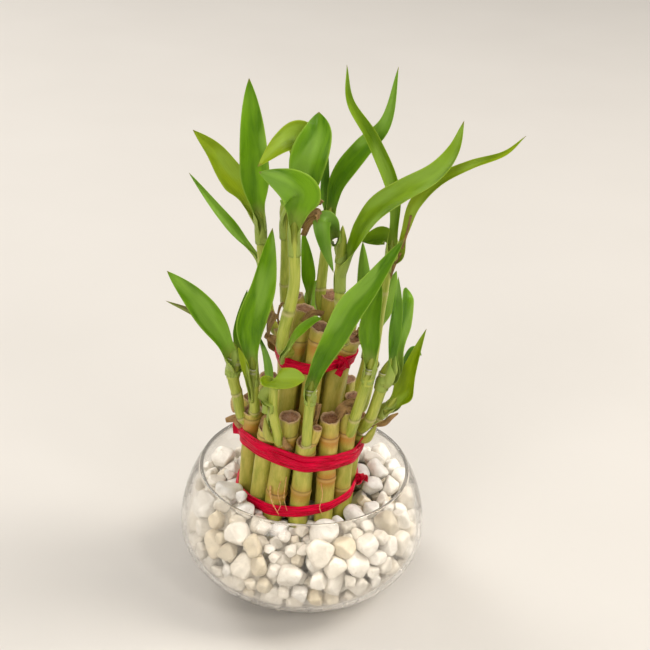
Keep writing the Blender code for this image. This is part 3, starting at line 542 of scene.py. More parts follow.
def ribbon_material():
    """Crimson satin: fine ribs along the ribbon, painted shade in its folds and a soft bright sheen."""
    shade = Shade("satin_ribbon")
    thread = shade.grain((0.3, 9.0, 1.0), 2.0, 0.6)
    folds_and_shade = shade.grain((0.12, 0.8, 1.0), 3.0, 0.6)
    # painted shade: the fold pattern paints the satin darker in its folds; the same pattern bumps the surface
    # and sets its roughness
    red = shade.fade(folds_and_shade, 0.35, 0.65, (0.36, 0.0, 0.006), (0.80, 0.0, 0.040))
    shade.set(Base_Color=shade.fade(thread, 0.4, 0.75, red, (0.90, 0.0, 0.075), 0.3),
              Roughness=shade.remap(folds_and_shade, 0.3, 0.7, 0.24, 0.38), Specular_IOR_Level=0.35,
              Specular_Tint=(1.0, 0.25, 0.4), Sheen_Weight=0.15, Sheen_Roughness=0.25,
              Sheen_Tint=(1.0, 0.05, 0.2), Anisotropic=0.4)
    shade.bump(shade.math("ADD", thread, shade.math("MULTIPLY", folds_and_shade, 2.0)), 0.45, 0.0004)
    return shade.material


def leaf_material(name, deep, light, glow, seen_through):
    """A glossy leaf: parallel veins, a painted glow along the edge, a paler base, painted sheen patches, one
    half painted in shade, a withered tip, light coming through.
    """
    shade = Shade(name)
    vein = shade.grain((2.6, 0.035, 1.0), 4.0, 0.6)
    patch = shade.grain((0.16, 0.035, 1.0))
    sheen = shade.grain((0.11, 0.030, 1.0), 1.0)
    fine = shade.grain((7.0, 0.15, 1.0), 2.0)
    green = shade.fade(patch, 0.38, 0.62, deep, light)
    green = shade.fade(vein, 0.4, 0.72, green, light, 0.5)
    green = shade.fade(fine, 0.55, 0.75, green, deep, 0.35)
    # painted sheen: pale patches painted into the colour as glossy highlights on the leaf
    green = shade.fade(sheen, 0.52, 0.64, green, shade.mix(0.5, light, (0.50, 0.74, 0.16)), 0.65)
    # painted shade: the half marked side is mixed towards the deep green
    green = shade.mix(shade.value("side"), green, shade.mix(0.45, green, deep))
    green = shade.mix(shade.value("under"), green, shade.mix(0.35, green, (0.30, 0.44, 0.08)))
    # the rim mark is painted light, a bright glow colour painted along each leaf's edge; stem and tip are the
    # leaf's own colours
    for mark, colour in (("rim", glow), ("stem", (0.52, 0.60, 0.14)), ("tip", (0.33, 0.22, 0.07))):
        green = shade.mix(shade.value(mark), green, colour)
    shade.set(Base_Color=green, Roughness=shade.remap(patch, 0.3, 0.7, 0.24, 0.4),
              Specular_IOR_Level=0.42, Specular_Tint=(0.86, 1.0, 0.62))
    normal = shade.bump(shade.math("ADD", vein, shade.math("MULTIPLY", fine, 0.5)), 0.4, 0.0005)
    shade.blend(seen_through, shade.node("ShaderNodeBsdfTranslucent", {
        "Color": shade.mix(0.5, green, glow), "Normal": normal}))
    return shade.material


def floor_material():
    shade = Shade("plain_floor")
    grain = shade.spots(6.0, 2.0)
    shade.set(Base_Color=shade.fade(grain, 0.3, 0.7, (0.700, 0.660, 0.605), (0.720, 0.680, 0.625)),
              Roughness=0.75)
    return shade.material


GLASS = glass_material()
PEBBLE = pebble_material()
CANE = cane_material()
SHOOT = shoot_material()
DRY = dry_material()
ROOT = root_material()
RIBBON = ribbon_material()
# leaf_olive, leaf_moss and leaf_dark are lighter and darker copies of leaf_green: partly the leaves' own
# tones, partly painted light and shade for leaves in brighter light or in shade
LEAF = {name: leaf_material(name, *colours) for name, *colours in (
    ("leaf_green", (0.070, 0.205, 0.000), (0.230, 0.470, 0.006), (0.50, 0.72, 0.08), 0.30),
    ("leaf_olive", (0.190, 0.300, 0.000), (0.430, 0.560, 0.012), (0.62, 0.72, 0.06), 0.38),
    ("leaf_moss", (0.115, 0.235, 0.000), (0.310, 0.490, 0.012), (0.55, 0.70, 0.07), 0.34),
    ("leaf_dark", (0.050, 0.150, 0.000), (0.170, 0.380, 0.015), (0.30, 0.52, 0.04), 0.2),
    ("leaf_dry", (0.090, 0.080, 0.012), (0.200, 0.180, 0.040), (0.33, 0.25, 0.08), 0.15),
)}


# ---------------------------------------------------------------- glass bowl

def wall_radius(height, inset):
    """The bowl's radius at a height, or that of a wall set in from it."""
    reach = math.sqrt(1 - (RIM_RADIUS / BOWL_RADIUS) ** 2)
    rise = (BOWL_HEIGHT - WIDEST_HEIGHT) / reach if height > WIDEST_HEIGHT else LOWER_DEPTH
    fraction = (height - WIDEST_HEIGHT) / (rise - inset)
    return (BOWL_RADIUS - inset) * math.sqrt(max(0.0, 1 - fraction * fraction))


def wall_profile(low, high, inset, count=44):
    heights = low + (high - low) * (1 - np.cos(np.linspace(0, math.pi / 2, count)))
    return [(wall_radius(height, inset), height) for height in heights]


def make_bowl():
    bead_height = BOWL_HEIGHT - RIM_BEAD
    bead_centre = wall_radius(bead_height, RIM_BEAD)
    thinner = (GLASS_WALL - 2 * RIM_BEAD + 0.3) * 0.9
    inside = [(radius + thinner * max(0.0, (height - 40.0) / 22.0) ** 1.5, height)
              for radius, height in wall_profile(GLASS_WALL + 0.6, bead_height - RIM_BEAD, GLASS_WALL)]
    bead = [(bead_centre + RIM_BEAD * math.cos(angle), bead_height + RIM_BEAD * math.sin(angle))
            for angle in np.radians(np.linspace(172, 8, 13))]
    outside = wall_profile(0.25, bead_height - RIM_BEAD, 0.0)[::-1]
    foot = outside[-1][0]
    floor = [(inside[0][0] * share, GLASS_WALL + 0.6 * share ** 4) for share in (0.25, 0.5, 0.75, 0.9)]
    under = [(foot - 0.6, 0.0), (foot - 3.0, 0.05), (foot - 6.0, 0.5), (foot * 0.5, 0.8), (foot * 0.2, 0.9)]
    profile = np.array(floor + inside + bead + outside + under)
    rows, columns = len(profile), 160
    angles = np.arange(columns) / columns * TAU
    points = np.stack([profile[:, :1] * np.cos(angles), profile[:, :1] * np.sin(angles),
                       np.repeat(profile[:, 1:], columns, 1)], -1)
    flat, faces = closed_tube(points, (0, 0, 0.9), (0, 0, GLASS_WALL))
    form = Form()
    form.add(flat, [face[::-1] for face in faces])
    form.make("bowl_glass", [GLASS], "glass", ["glass_bowl"])


# ---------------------------------------------------------------- canes

def cane_path(cane, heights):
    """Centre line of a cane at given heights; inner canes bend softly at the upper ribbon."""
    heights = np.asarray(heights, float)
    if len(cane) == 6:
        waist, top = np.array([(*cane[0], WAIST_HEIGHT), cane[1]], float)
        return waist + (heights - WAIST_HEIGHT)[:, None] * (top - waist) / (top - waist)[2]
    foot, waist, top = np.array([(*cane[0], CANE_FOOT), (*cane[1], BEND_HEIGHT), cane[2]], float)
    lower, upper = (waist - foot) / (waist - foot)[2], (top - waist) / (top - waist)[2]
    offset = heights - BEND_HEIGHT
    bent = BEND_SOFTNESS * np.log1p(np.exp(np.clip(offset / BEND_SOFTNESS, -30, 30)))
    return waist + offset[:, None] * lower + bent[:, None] * (upper - lower)


CANES = {f"{tier}_cane_{number:02d}": cane for tier, canes in (("outer", OUTER_CANES), ("inner", INNER_CANES))
         for number, cane in enumerate(canes, 1)}


def add_cane(form, cane, rng):
    (*_, peak), diameter, joints, tilt, dryness = cane[-5:]
    columns = 40
    heights = [[CANE_FOOT, CANE_FOOT + 0.4], np.arange(CANE_FOOT + 2, peak - 1.2, 1.6),
               *(joint + np.linspace(-2.4, 2.4, 13) for joint in joints),
               [peak - 1.2, peak - 0.7, peak - 0.3, peak]]
    heights = np.concatenate(heights)
    heights = np.unique(np.round(heights[(heights >= CANE_FOOT) & (heights <= peak)], 3))
    rows = len(heights)
    path = cane_path(cane, heights)
    points, angles = sweep(path, np.ones(rows), columns, (1.0, 0.0, 0.0))
    around = points - path[:, None]
    factor = 1 + 0.02 * np.cos(2 * (angles + rng.uniform(0, TAU)))
    factor = np.tile(factor + 0.012 * np.cos(3 * angles + rng.uniform(0, TAU)), (rows, 1))
    ring, seam, tan = np.zeros((3, rows, columns))
    for joint in joints:
        lean, turn = rng.uniform(0.2, 0.7), rng.uniform(0, TAU)
        offset = heights[:, None] - joint - lean * np.cos(angles - turn)
        factor += 0.045 * bell(offset, 3.2) + 0.05 * bell(offset, 0.8) - 0.035 * bell(offset - 1.35, 0.45)
        ring = np.maximum(ring, 0.85 * bell(offset, 0.75))
        seam = np.maximum(seam, 0.75 * bell(offset - 1.1, 0.3))
        patch = bell(offset + rng.uniform(-1, 4), rng.uniform(2.5, 5.0))
        facing = 0.55 + 0.45 * np.cos(angles - rng.uniform(-2.4, -0.7))
        tan = np.maximum(tan, rng.uniform(0.6, 1.2) * (0.5 + dryness) * patch * facing)
    drift = rng.uniform(0, TAU, 3)
    factor += 0.012 * np.sin(heights[:, None] / 9.0 + drift[0] + np.cos(angles))

    def near_top(reach):
        return smoothstep(1 - (peak - heights) / reach)[:, None]

    factor += 0.035 * near_top(2.6) * (1 + 0.5 * np.sin(5 * angles + drift[1])) * dryness
    points = path[:, None] + around * (factor * diameter / 2)[..., None]
    lift = ((points - path[:, None])[..., :2] * tilt).sum(-1)
    ragged = 0.18 * np.sin(7 * angles + drift[2]) + 0.12 * np.sin(13 * angles + drift[1])
    points[..., 2] += near_top(3.0) * (lift + ragged)
    shares = (0.965, 0.9, 0.8, 0.65, 0.5, 0.35, 0.2)
    rings = []
    for share, drop in zip(shares, (-0.12, 0.05, 0.35, 0.5, 0.42, 0.5, 0.38)):
        inner = path[-1] + (points[-1] - path[-1]) * share
        inner[:, 2] -= drop * (0.6 + dryness) + 0.1 * np.sin(4 * angles + 9 * share + drift[0])
        rings.append(inner)
    flat, faces = closed_tube(np.concatenate([points, rings]), path[-1] - (0, 0, 0.3), path[0])
    length = rows * columns
    extra = len(flat) - length
    cut = near_top(0.8 + 1.6 * dryness) * (0.55 + 0.45 * np.sin(3 * angles + drift[0]))
    cut[-1] = 1.0
    rise = smoothstep((heights - 35) / 60)[:, None] * np.ones(columns)
    flow = np.vstack([tube_flow(angles, heights), flat[length:]]) + rng.uniform(0, 50)
    form.add(flat, faces, 0, flow=flow, cut=np.concatenate([cut.ravel(), np.ones(extra - 1), [0.0]]),
             rad=np.concatenate([np.ones(length), np.repeat(shares, columns), [0.0, 1.0]]),
             **with_zeros(extra, ring=ring, seam=seam, tan=tan, tone=dryness * (0.35 + 0.65 * rise)))


# ---------------------------------------------------------------- shoots

def shoot_path(shoot, count=80):
    route = shoot[1]
    return spline(route, np.linspace(0, len(route) - 1, count))


def add_shoot(form, index, shoot, rng):
    """A ringed side shoot that ends in a leaf bud, or a dead stub that ends in a cut."""
    _, _, root, tip, rings, _ = shoot
    dead = index in DEAD_STUBS
    path = shoot_path(shoot)
    rows, columns = len(path), 24
    length = run_of(path)[-1]
    run = np.linspace(0, 1, rows) * length
    radius = root + (tip - root) * np.linspace(0, 1, rows)
    if not dead:
        radius *= 1 + 0.10 * bell(run, 3.0)
    angles = np.arange(columns) / columns * TAU
    factor = np.ones((rows, columns)) * (1 + 0.025 * np.cos(2 * angles + rng.uniform(0, TAU)))
    ring, seam = np.zeros((2, rows, columns))
    for place in rings:
        lean, turn = rng.uniform(0.3, 0.9), rng.uniform(0, TAU)
        offset = (run - place * length)[:, None] - lean * np.cos(angles - turn)
        factor += 0.07 * bell(offset, 1.0) + 0.05 * (offset < 0) * bell(offset, 5.0)
        ring = np.maximum(ring, 0.8 * bell(offset, 0.6))
        seam = np.maximum(seam, 0.6 * bell(offset - 0.9, 0.35))
    points, _ = sweep(path, radius[:, None] * factor, columns)
    flow = tube_flow(angles, run) + rng.uniform(0, 50)
    tangent = unit(path[-1] - path[-2])
    ends, peak = (((1.2, 0.93), (3.0, 0.75), (5.0, 0.5), (7.0, 0.22)), 8.0)
    if dead:
        ends, peak = ((-0.5, 0.8), (-0.8, 0.45)), -0.5
    rims = [path[-1] + tangent * further + (points[-1] - path[-1]) * share for further, share in ends]
    flat, faces = closed_tube(np.concatenate([points, rims]), path[-1] + tangent * peak, path[0])
    extra = len(ends) * columns
    rad, cut = np.ones(len(flat)), np.zeros(len(flat))
    if dead:
        rad[-extra - 2:-1] = [*np.repeat((0.85, 0.45), columns), 0.0]
        cut[:-1] = 1.0
        cut[:rows * columns] = np.repeat(smoothstep(1 - (length - run) / 2.0), columns)
    flow = np.vstack([flow, np.tile(flow[-columns:], (len(ends), 1)), flow[-1:], flow[:1]])
    tan = 0.7 * bell(run, 4.0)[:, None] * np.ones(columns)
    form.add(flat, faces, 0 if dead else 1, flow=flow, cut=cut, rad=rad, tone=0.95 if dead else 0.0,
             **with_zeros(extra + 2, ring=ring, seam=seam, tan=tan))


def add_open_sheath(form, shoot, rng):
    """The old leaf base round the top of a shoot: a thin open cup with a pale slanted edge."""
    height, columns = 11.0, 28
    path = shoot_path(shoot)
    run = run_of(path)
    start = np.searchsorted(run, run[-1] - height)
    path = path[start:]
    along = (run[start:] - run[start]) / (run[-1] - run[start])
    radius = shoot[3] * (1.05 + 0.06 * along + 0.16 * smoothstep((along - 0.7) / 0.3))
    points, angles = sweep(path, radius, columns)
    tangent = unit(path[-1] - path[-2])
    lift = 1.3 * np.cos(angles - rng.uniform(0, TAU)) - 0.4
    points += smoothstep(along)[:, None, None] ** 2 * lift[None, :, None] * tangent
    inner = path[-1] + (points[-1] - path[-1]) * (1 - 0.22 / radius[-1])
    grid = np.concatenate([points, [inner, inner - tangent * 3.0]])
    rim = np.concatenate([bell((1 - along) * height, 0.55), [1.0, 0.3]])
    flow = tube_flow(angles, np.linspace(0, 12, len(grid)))
    form.add(grid, grid_faces(len(grid), columns), 1, flow=flow + rng.uniform(0, 50),
             rim=np.repeat(rim, columns))


# ---------------------------------------------------------------- leaves

SHOOT_LINES = [(shoot_path(shoot), shoot) for shoot in SHOOTS]


def leaf_foot(base, face, number):
    """Two points before a leaf's base, behind the nearest shoot, and how far the sheath stands off it."""
    line, shoot = min(SHOOT_LINES, key=lambda entry: np.linalg.norm(entry[0] - base, axis=1).min())
    index = int(np.linalg.norm(line - base, axis=1).argmin())
    radius = shoot[2] + (shoot[3] - shoot[2]) * index / (len(line) - 1)
    hold = radius * 1.06 + 0.12 + 0.16 * (number % 3)
    step = np.linalg.norm(np.diff(line, axis=0), axis=1).mean()
    under = []
    for back in (9.0, 4.5):
        place = max(2, index - int(back / step))
        tangent = unit(line[place + 1] - line[place - 1])
        under.append(line[place] - unit(face - tangent * face.dot(tangent)) * hold)
    return under, hold


def blade_width(along, fullness, shoulder):
    grow = smoothstep(along / shoulder)
    return np.maximum(0.012, (0.34 + 0.66 * grow) * (1 - np.clip(along, 0, 1) ** fullness) ** 0.9)


def make_leaf(name, number):
    """A leaf whose rolled sheath opens into a folded, gently wavy blade."""
    route, width, face_base, face_tip, fold, fullness, finish = LEAVES[name]
    rng = np.random.default_rng(700 + number)
    route, face_base = np.asarray(route, float), unit(face_base)
    under, hold = (LEAF_STARTS[name], 1.25) if name in LEAF_STARTS else leaf_foot(route[0], face_base, number)
    sheath_rows, rows, columns = 12, 64, 17
    places = np.concatenate([np.linspace(0, 2, sheath_rows, endpoint=False),
                             2 + np.linspace(0, len(route) - 1, rows)])
    path = spline(np.vstack([under, route]), places)
    along = np.concatenate([np.zeros(sheath_rows), np.linspace(0, 1, rows)])
    before = np.concatenate([np.linspace(1, 0, sheath_rows, endpoint=False), np.zeros(rows)])
    tangents = unit(np.gradient(path, axis=0))
    facing = face_base + (unit(face_tip) - face_base) * along[:, None]
    normals = unit(facing - tangents * (facing * tangents).sum(1)[:, None])
    sides = np.cross(tangents, normals)
    tilt = math.radians(fold)
    run = run_of(path)
    length = run[-1]
    travel = along * length
    opening = smoothstep(travel / 16.0)
    wrap = math.pi * (0.93 - 0.10 * smoothstep(1 - before)) * (1 - opening) + 2 * tilt * opening
    blade = width / 2 * blade_width(along, fullness, SHOULDERS.get(name, LEAF_SHOULDER)) * math.cos(tilt)
    half = hold * (1 - opening) + blade * opening
    bend = np.where(wrap > math.pi / 2, 1.0, np.sin(np.minimum(wrap, math.pi / 2))) / np.maximum(half, 0.05)
    across = np.linspace(-1, 1, columns)
    turn = across[None, :] * wrap[:, None]
    x = np.sin(turn) / bend[:, None]
    y = (1 - np.cos(turn)) / bend[:, None] - 0.10 * bell(across, 0.12) * opening[:, None]
    wave = rng.uniform(0.25, 0.55) * np.sin(travel / rng.uniform(6.0, 9.0) + rng.uniform(0, TAU))
    sway = rng.uniform(0.15, 0.35) * np.sin(travel / 5.0 + rng.uniform(0, TAU))
    y += (wave[:, None] * np.sign(across) + sway[:, None]) * across ** 2 * (opening * half / 7.0)[:, None]
    surface = path[:, None] + sides[:, None] * x[..., None] + normals[:, None] * y[..., None]
    out = unit(np.cross(np.gradient(surface, axis=1), np.gradient(surface, axis=0)))
    flow = np.stack([turn / bend[:, None], np.tile(run[:, None], columns), np.zeros(turn.shape)], -1)
    flow += rng.uniform(0, 80)
    # painted shade: one half of the blade beside the midrib is marked (side) to be painted darker
    dark = smoothstep(across * 4 * rng.choice([-1, 1]) + 0.5) * rng.uniform(0.3, 1.0)
    # rim places the painted edge glow
    values = {"rim": 0.65 * bell(1 - np.abs(across), 0.07), "side": dark * opening[:, None],
              "stem": 0.75 * (1 - smoothstep(travel / 14.0))[:, None],
              "tip": 0.85 * smoothstep((along - 0.965) / 0.035)[:, None], "under": 0.0}
    values = {key: np.broadcast_to(value, turn.shape).ravel() for key, value in values.items()}
    values = {key: np.concatenate([value, value + (key == "under")]) for key, value in values.items()}
    form = Form()
    add_shell(form, surface, out * (0.10 - 0.045 * across ** 2)[:, None], flow, mirrored=True, **values)
    material = LEAF["leaf_moss" if name in MOSSY else finish]
    form.make(f"{name}_blade", [material], finish, [name])


def add_shell(form, surface, offset, flow, closed=False, mirrored=False, **values):
    """A thin closed shell: the grid of points moved by offset to either side."""
    faces = shell_faces(*surface.shape[:2], closed)
    if mirrored:
        faces = [[face[0], *face[:0:-1]] for face in faces]
    form.add(np.concatenate([surface + offset, surface - offset]), faces, flow=np.concatenate([flow, flow]),
             **values)


# ---------------------------------------------------------------- pebbles

STONE_LEVEL = 50.5
# x, y, reach along X, reach along Y and height of each heap of stones
HEAPS = ((-31, -23, 11, 13, 14.0), (34, 18, 12, 16, 6.5), (16, -33, 10, 7, 2.5))
# heights between which the bowl's wall holds the stones
WALL_LOW, WALL_HIGH = 3.0, 62.0

def icosphere(subdivisions):
    form = bmesh.new()
    bmesh.ops.create_icosphere(form, subdivisions=subdivisions, radius=1.0)
    points = np.array([vertex.co[:] for vertex in form.verts])
    faces = np.array([[vertex.index for vertex in face.verts] for face in form.faces])
    form.free()
    return unit(points), faces


def wall_distance(starts, directions):
    """How far from each start a ray meets the glass's inner face."""
    radius = BOWL_RADIUS - GLASS_WALL - 0.2
    upper = (BOWL_HEIGHT - WIDEST_HEIGHT) / math.sqrt(1 - (RIM_RADIUS / BOWL_RADIUS) ** 2) - GLASS_WALL
    results = []
    for depth in (LOWER_DEPTH - GLASS_WALL - 0.2, upper):
        scale = np.array([1 / radius, 1 / radius, 1 / depth])
        begin = (starts - (0, 0, WIDEST_HEIGHT)) * scale
        go = directions * scale
        a, b, c = (go * go).sum(-1), (begin * go).sum(-1), (begin * begin).sum(-1) - 1
        results.append((-b + np.sqrt(np.maximum(b * b - a * c, 0))) / a)
    low, high = results
    return np.where(starts[..., 2] + low * directions[..., 2] <= WIDEST_HEIGHT, low, high)


def wall_room(centres):
    """Distance of each centre from the bowl's axis, and of the glass at its height."""
    inner = [wall_radius(min(max(z, WALL_LOW), WALL_HIGH), GLASS_WALL) for z in centres[:, 2]]
    return np.hypot(centres[:, 0], centres[:, 1]), np.array(inner)


def cane_gaps(centres):
    """Direction and distance from each centre to every cane's skin."""
    gaps = []
    for cane in CANES.values():
        offset = cane_path(cane, centres[:, 2]) - centres
        distance = np.linalg.norm(offset, axis=1)
        gaps.append((offset / np.maximum(distance, 1e-6)[:, None], distance - cane[-4] / 2 * 1.05))
    return gaps


def surface_level(places):
    """How high the stones lie: heaped against the stalks on the left and behind on the right."""
    level = np.full(len(places), STONE_LEVEL)
    for x, y, wide, deep, heap in HEAPS:
        level += heap * np.exp(-((places[:, 0] - x) / wide) ** 2 - ((places[:, 1] - y) / deep) ** 2)
    return level


def settle_pebbles(count=860, turns=90):
    """Places of the stones: spheres pushed apart until they fit between glass, canes and surface."""
    rng = np.random.default_rng(31)
    radii = np.sort(2.7 + 3.7 * rng.random(count) ** 1.9)[::-1]
    centres = []
    while len(centres) < count:
        spot = np.array([[rng.uniform(-58, 58), rng.uniform(-58, 58), rng.uniform(5, 59)]])
        x, y, z = spot[0]
        if (z <= surface_level(spot)[0] and math.hypot(x, y) <= wall_radius(z, GLASS_WALL) - 3.0
                and min(gap[0] for _, gap in cane_gaps(spot)) >= 1.0):
            centres.append(spot[0])
    centres = np.array(centres)
    for _ in range(turns):
        delta = centres[:, None] - centres[None]
        distance = np.linalg.norm(delta, axis=2) + np.eye(count) * 1e3
        overlap = np.maximum(0, 0.93 * (radii[:, None] + radii[None]) - distance)
        centres = centres + (delta / distance[..., None] * overlap[..., None]).sum(1) * 0.28
        centres[:, 2] -= 0.05
        for direction, gap in cane_gaps(centres):
            centres -= direction * np.maximum(0, radii * 0.72 - gap)[:, None]
        flat, inner = wall_room(centres)
        centres[:, :2] *= np.minimum(1, (inner - radii * 0.86) / np.maximum(flat, 1e-6))[:, None]
        centres[:, 2] = np.maximum(centres[:, 2], GLASS_WALL + radii * 0.8)
        centres[:, 2] = np.minimum(centres[:, 2], surface_level(centres) - radii * 0.35)
    return centres, radii


def make_pebbles():
    """Facetted stones, each cut to its own place between its neighbours, the canes and the glass."""
    centres, radii = settle_pebbles()
    directions, faces = icosphere(4)
    rng = np.random.default_rng(77)
    gaps = cane_gaps(centres)
    flat, inner = wall_room(centres)
    hidden = (inner - flat > 17) & (centres[:, 2] < 36) & (centres[:, 2] > 14)
    groups = [Form() for _ in range(4)]
    sharpness = 20.0
    for index, (centre, radius) in enumerate(zip(centres, radii)):
        turn = np.linalg.qr(rng.normal(size=(3, 3)))[0]
        shape = np.array([rng.uniform(1.1, 1.38), rng.uniform(0.95, 1.08), rng.uniform(0.66, 0.86)])
        facets = unit(rng.normal(size=(rng.integers(8, 14), 3)))
        depths = np.linalg.norm(facets * shape, axis=1) * rng.uniform(0.66, 0.98, len(facets)) * radius
        waves = rng.normal(size=(6, 3)) * 3.2
        phases = rng.uniform(0, TAU, 6)
        tone = rng.random()
        if hidden[index]:
            continue
        offset = centres - centre
        distance = np.linalg.norm(offset, axis=1)
        near = (distance > 1e-6) & (distance < radius + radii + 4)
        normals = offset[near] / distance[near][:, None]
        planes = (distance[near] ** 2 + radius ** 2 - radii[near] ** 2) / (2 * distance[near]) - 0.08
        cane_normals = np.array([gap[0][index] for gap in gaps])
        cane_planes = np.array([gap[1][index] for gap in gaps]) - 0.1
        close = cane_planes < radius * 2
        normals = np.vstack([facets @ turn.T, normals, cane_normals[close], [(0, 0, -1)]])
        planes = np.concatenate([depths, planes, cane_planes[close], [centre[2] - GLASS_WALL - 0.75]])
        reach = np.maximum(0, directions @ normals.T) / np.maximum(0.9, planes)
        ray = wall_distance(np.broadcast_to(centre, directions.shape), directions)
        total = (reach ** sharpness).sum(1) + (1 / np.maximum(ray - 0.15, 0.5)) ** sharpness
        total += (1 / (1.25 * radius)) ** sharpness
        size = total ** (-1 / sharpness)
        size *= 1 + 0.012 * np.sin(directions @ waves.T + phases).sum(1) / 2
        size = np.minimum(size, np.maximum(ray - 0.1, 0.4))
        groups[index % 4].add(centre + directions * size[:, None], faces, tone=tone)
    for number, group in enumerate(groups, 1):
        group.make(f"pebbles_{number}", [PEBBLE], "pebble", ["pebble_bed"] if number == 1 else [])


# ---------------------------------------------------------------- ribbons

STRIP_HALF = 0.16

def tier_centre(canes, height):
    return np.mean([cane_path(cane, [height])[0][:2] for cane in canes], axis=0)


def hull_reach(canes, centre, bearings, height):
    """How far a taut band round the canes is from the centre, towards each bearing."""
    around = np.linspace(0, TAU, 240, endpoint=False)
    looks = np.stack([np.cos(around), np.sin(around)], 1)
    support = np.full(len(around), -1e9)
    for cane in canes:
        middle = cane_path(cane, [height])[0][:2] - centre
        support = np.maximum(support, looks @ middle + cane[-4] / 2 * 1.045)
    delta = np.cos(bearings[:, None] - around[None])
    return np.where(delta > 0.05, support[None] / np.maximum(delta, 0.05), 1e9).min(1)


def add_band(form, canes, mid, rise, width, offset, drift):
    """One flattened strand of ribbon: crowned across, with a fold that wanders round."""
    centre = tier_centre(canes, mid)
    bearings = np.linspace(0, TAU, 168, endpoint=False)
    columns = 11
    heights = mid + rise[0] * np.cos(bearings) + rise[1] * np.sin(bearings)
    heights += drift[0] * np.sin(drift[1] * bearings + drift[2])
    widths = width / 2 * (1 + 0.12 * np.sin(3 * bearings + drift[2]))
    grid = np.zeros((len(bearings), columns, 3))
    for column, share in enumerate(np.linspace(-1, 1, columns)):
        level = heights + widths * share
        reach = np.concatenate([hull_reach(canes, centre, bearings[low:low + 12], level[low:low + 12].mean())
                                for low in range(0, len(bearings), 12)])
        reach = np.convolve(np.concatenate([reach[-4:], reach, reach[:4]]), np.ones(5) / 5, "same")[4:-4]
        crown = 0.55 * (1 - share ** 2) + 0.18 * np.sin(4.0 * share + 5 * bearings + drift[2])
        reach += offset + crown + 0.22 * np.cos(9.0 * share + 1.5 * np.sin(2 * bearings + drift[2]))
        grid[:, column] = np.stack([centre[0] + reach * np.cos(bearings),
                                    centre[1] + reach * np.sin(bearings), level], 1)
    add_strip(form, grid, True)


def add_strip(form, grid, closed=False):
    """A strip of ribbon or dry sheath, 0.32 mm thick, along a grid of points."""
    columns = grid.shape[1]
    rows = np.concatenate([grid[-1:], grid, grid[:1]]) if closed else grid
    by_row = np.gradient(rows, axis=0)
    out = unit(np.cross(by_row[1:-1] if closed else by_row, np.gradient(grid, axis=1)))
    flow = np.zeros(grid.shape)
    flow[..., 0] = run_of(grid.mean(1))[:, None]
    flow[..., 1] = np.linspace(0, np.linalg.norm(grid[0, -1] - grid[0, 0]), columns)[None, :]
    add_shell(form, grid, out * STRIP_HALF, flow, closed)


def add_loop(form, path, width, twist, ripple):
    """A free strip along a path; twist turns it about its own line."""
    path = spline(path, np.linspace(0, len(path) - 1, 40))
    tangents, sides, ups = frames(path, (0.0, 0.0, 1.0))
    turn = np.linspace(twist[0], twist[1], len(path))[:, None]
    lay = sides * np.cos(turn) + ups * np.sin(turn)
    face = np.cross(tangents, lay)
    across = np.linspace(-1, 1, 9)
    grid = path[:, None] + lay[:, None] * across[None, :, None] * width / 2
    bend = ripple * (np.cos(5 * across)[None, :] + 0.4 * np.sin(np.linspace(0, 9, len(path)))[:, None])
    add_strip(form, grid + face[:, None] * bend[..., None])


def add_knot(form, origin, out, side, up, size):
    """A small tight knot: a crossed pair of crumpled wraps."""
    for lean, deep, wide in ((0.5, 1.0, 4.6), (-0.6, 1.25, 3.8)):
        across = side * math.cos(lean) + up * math.sin(lean)
        along = up * math.cos(lean) - side * math.sin(lean)
        ring = [origin + along * math.sin(angle) * size * 0.62
                + out * (math.cos(angle) * size * 0.45 * deep + 0.5) + across * 0.25 * math.sin(2 * angle)
                for angle in np.linspace(-2.6, 2.6, 11)]
        add_loop(form, ring, wide * size / 4.0, (math.pi / 2 + lean, math.pi / 2 + lean), 0.12)


def make_ribbon(name, canes, mid, rise, strands, knot, ends, loose):
    """Strands round a tier plus a knot and its ends.

    A strand is (height offset, width, stand-off, drift), the knot (bearing in degrees, size, height
    offset); an end's path is counted outwards, sideways and up from the knot.
    """
    form = Form()
    for shift, width, offset, drift in strands:
        add_band(form, canes, mid + shift, rise, width, offset, drift)
    centre = tier_centre(canes, mid)
    bearing = math.radians(knot[0])
    out = np.array([math.cos(bearing), math.sin(bearing), 0.0])
    side, up = np.array([-out[1], out[0], 0.0]), np.array([0.0, 0.0, 1.0])
    height = mid + rise[0] * out[0] + rise[1] * out[1] + knot[2]
    reach = hull_reach(canes, centre, np.array([bearing]), height)[0] + 0.9
    origin = np.array([*centre, height]) + out * reach
    add_knot(form, origin, out, side, up, knot[1])
    for path, width, twist in ends:
        add_loop(form, [origin + out * o + side * s + up * u for o, s, u in path], width, twist, 0.15)
    for path, width, twist in loose:
        add_loop(form, path, width, twist, 0.15)
    item = form.make(f"{name}_satin", [RIBBON], "ribbon", [name])
    bpy.context.view_layer.update()


# ---------------------------------------------------------------- small growths

def add_growth(form, points, radii, material):
    """A closed thin tube through points with radii spread along it."""
    count, columns = 24, 12
    path = spline(points, np.linspace(0, len(points) - 1, count))
    radius = np.interp(np.linspace(0, 1, count), np.linspace(0, 1, len(radii)), radii)
    grid, angles = sweep(path, radius, columns)
    flat, faces = closed_tube(grid, path[-1], path[0])
    flow = np.vstack([tube_flow(angles, np.linspace(0, 20, count)), np.zeros((2, 3))])
    form.add(flat, faces, material, flow=flow, tan=0.25)


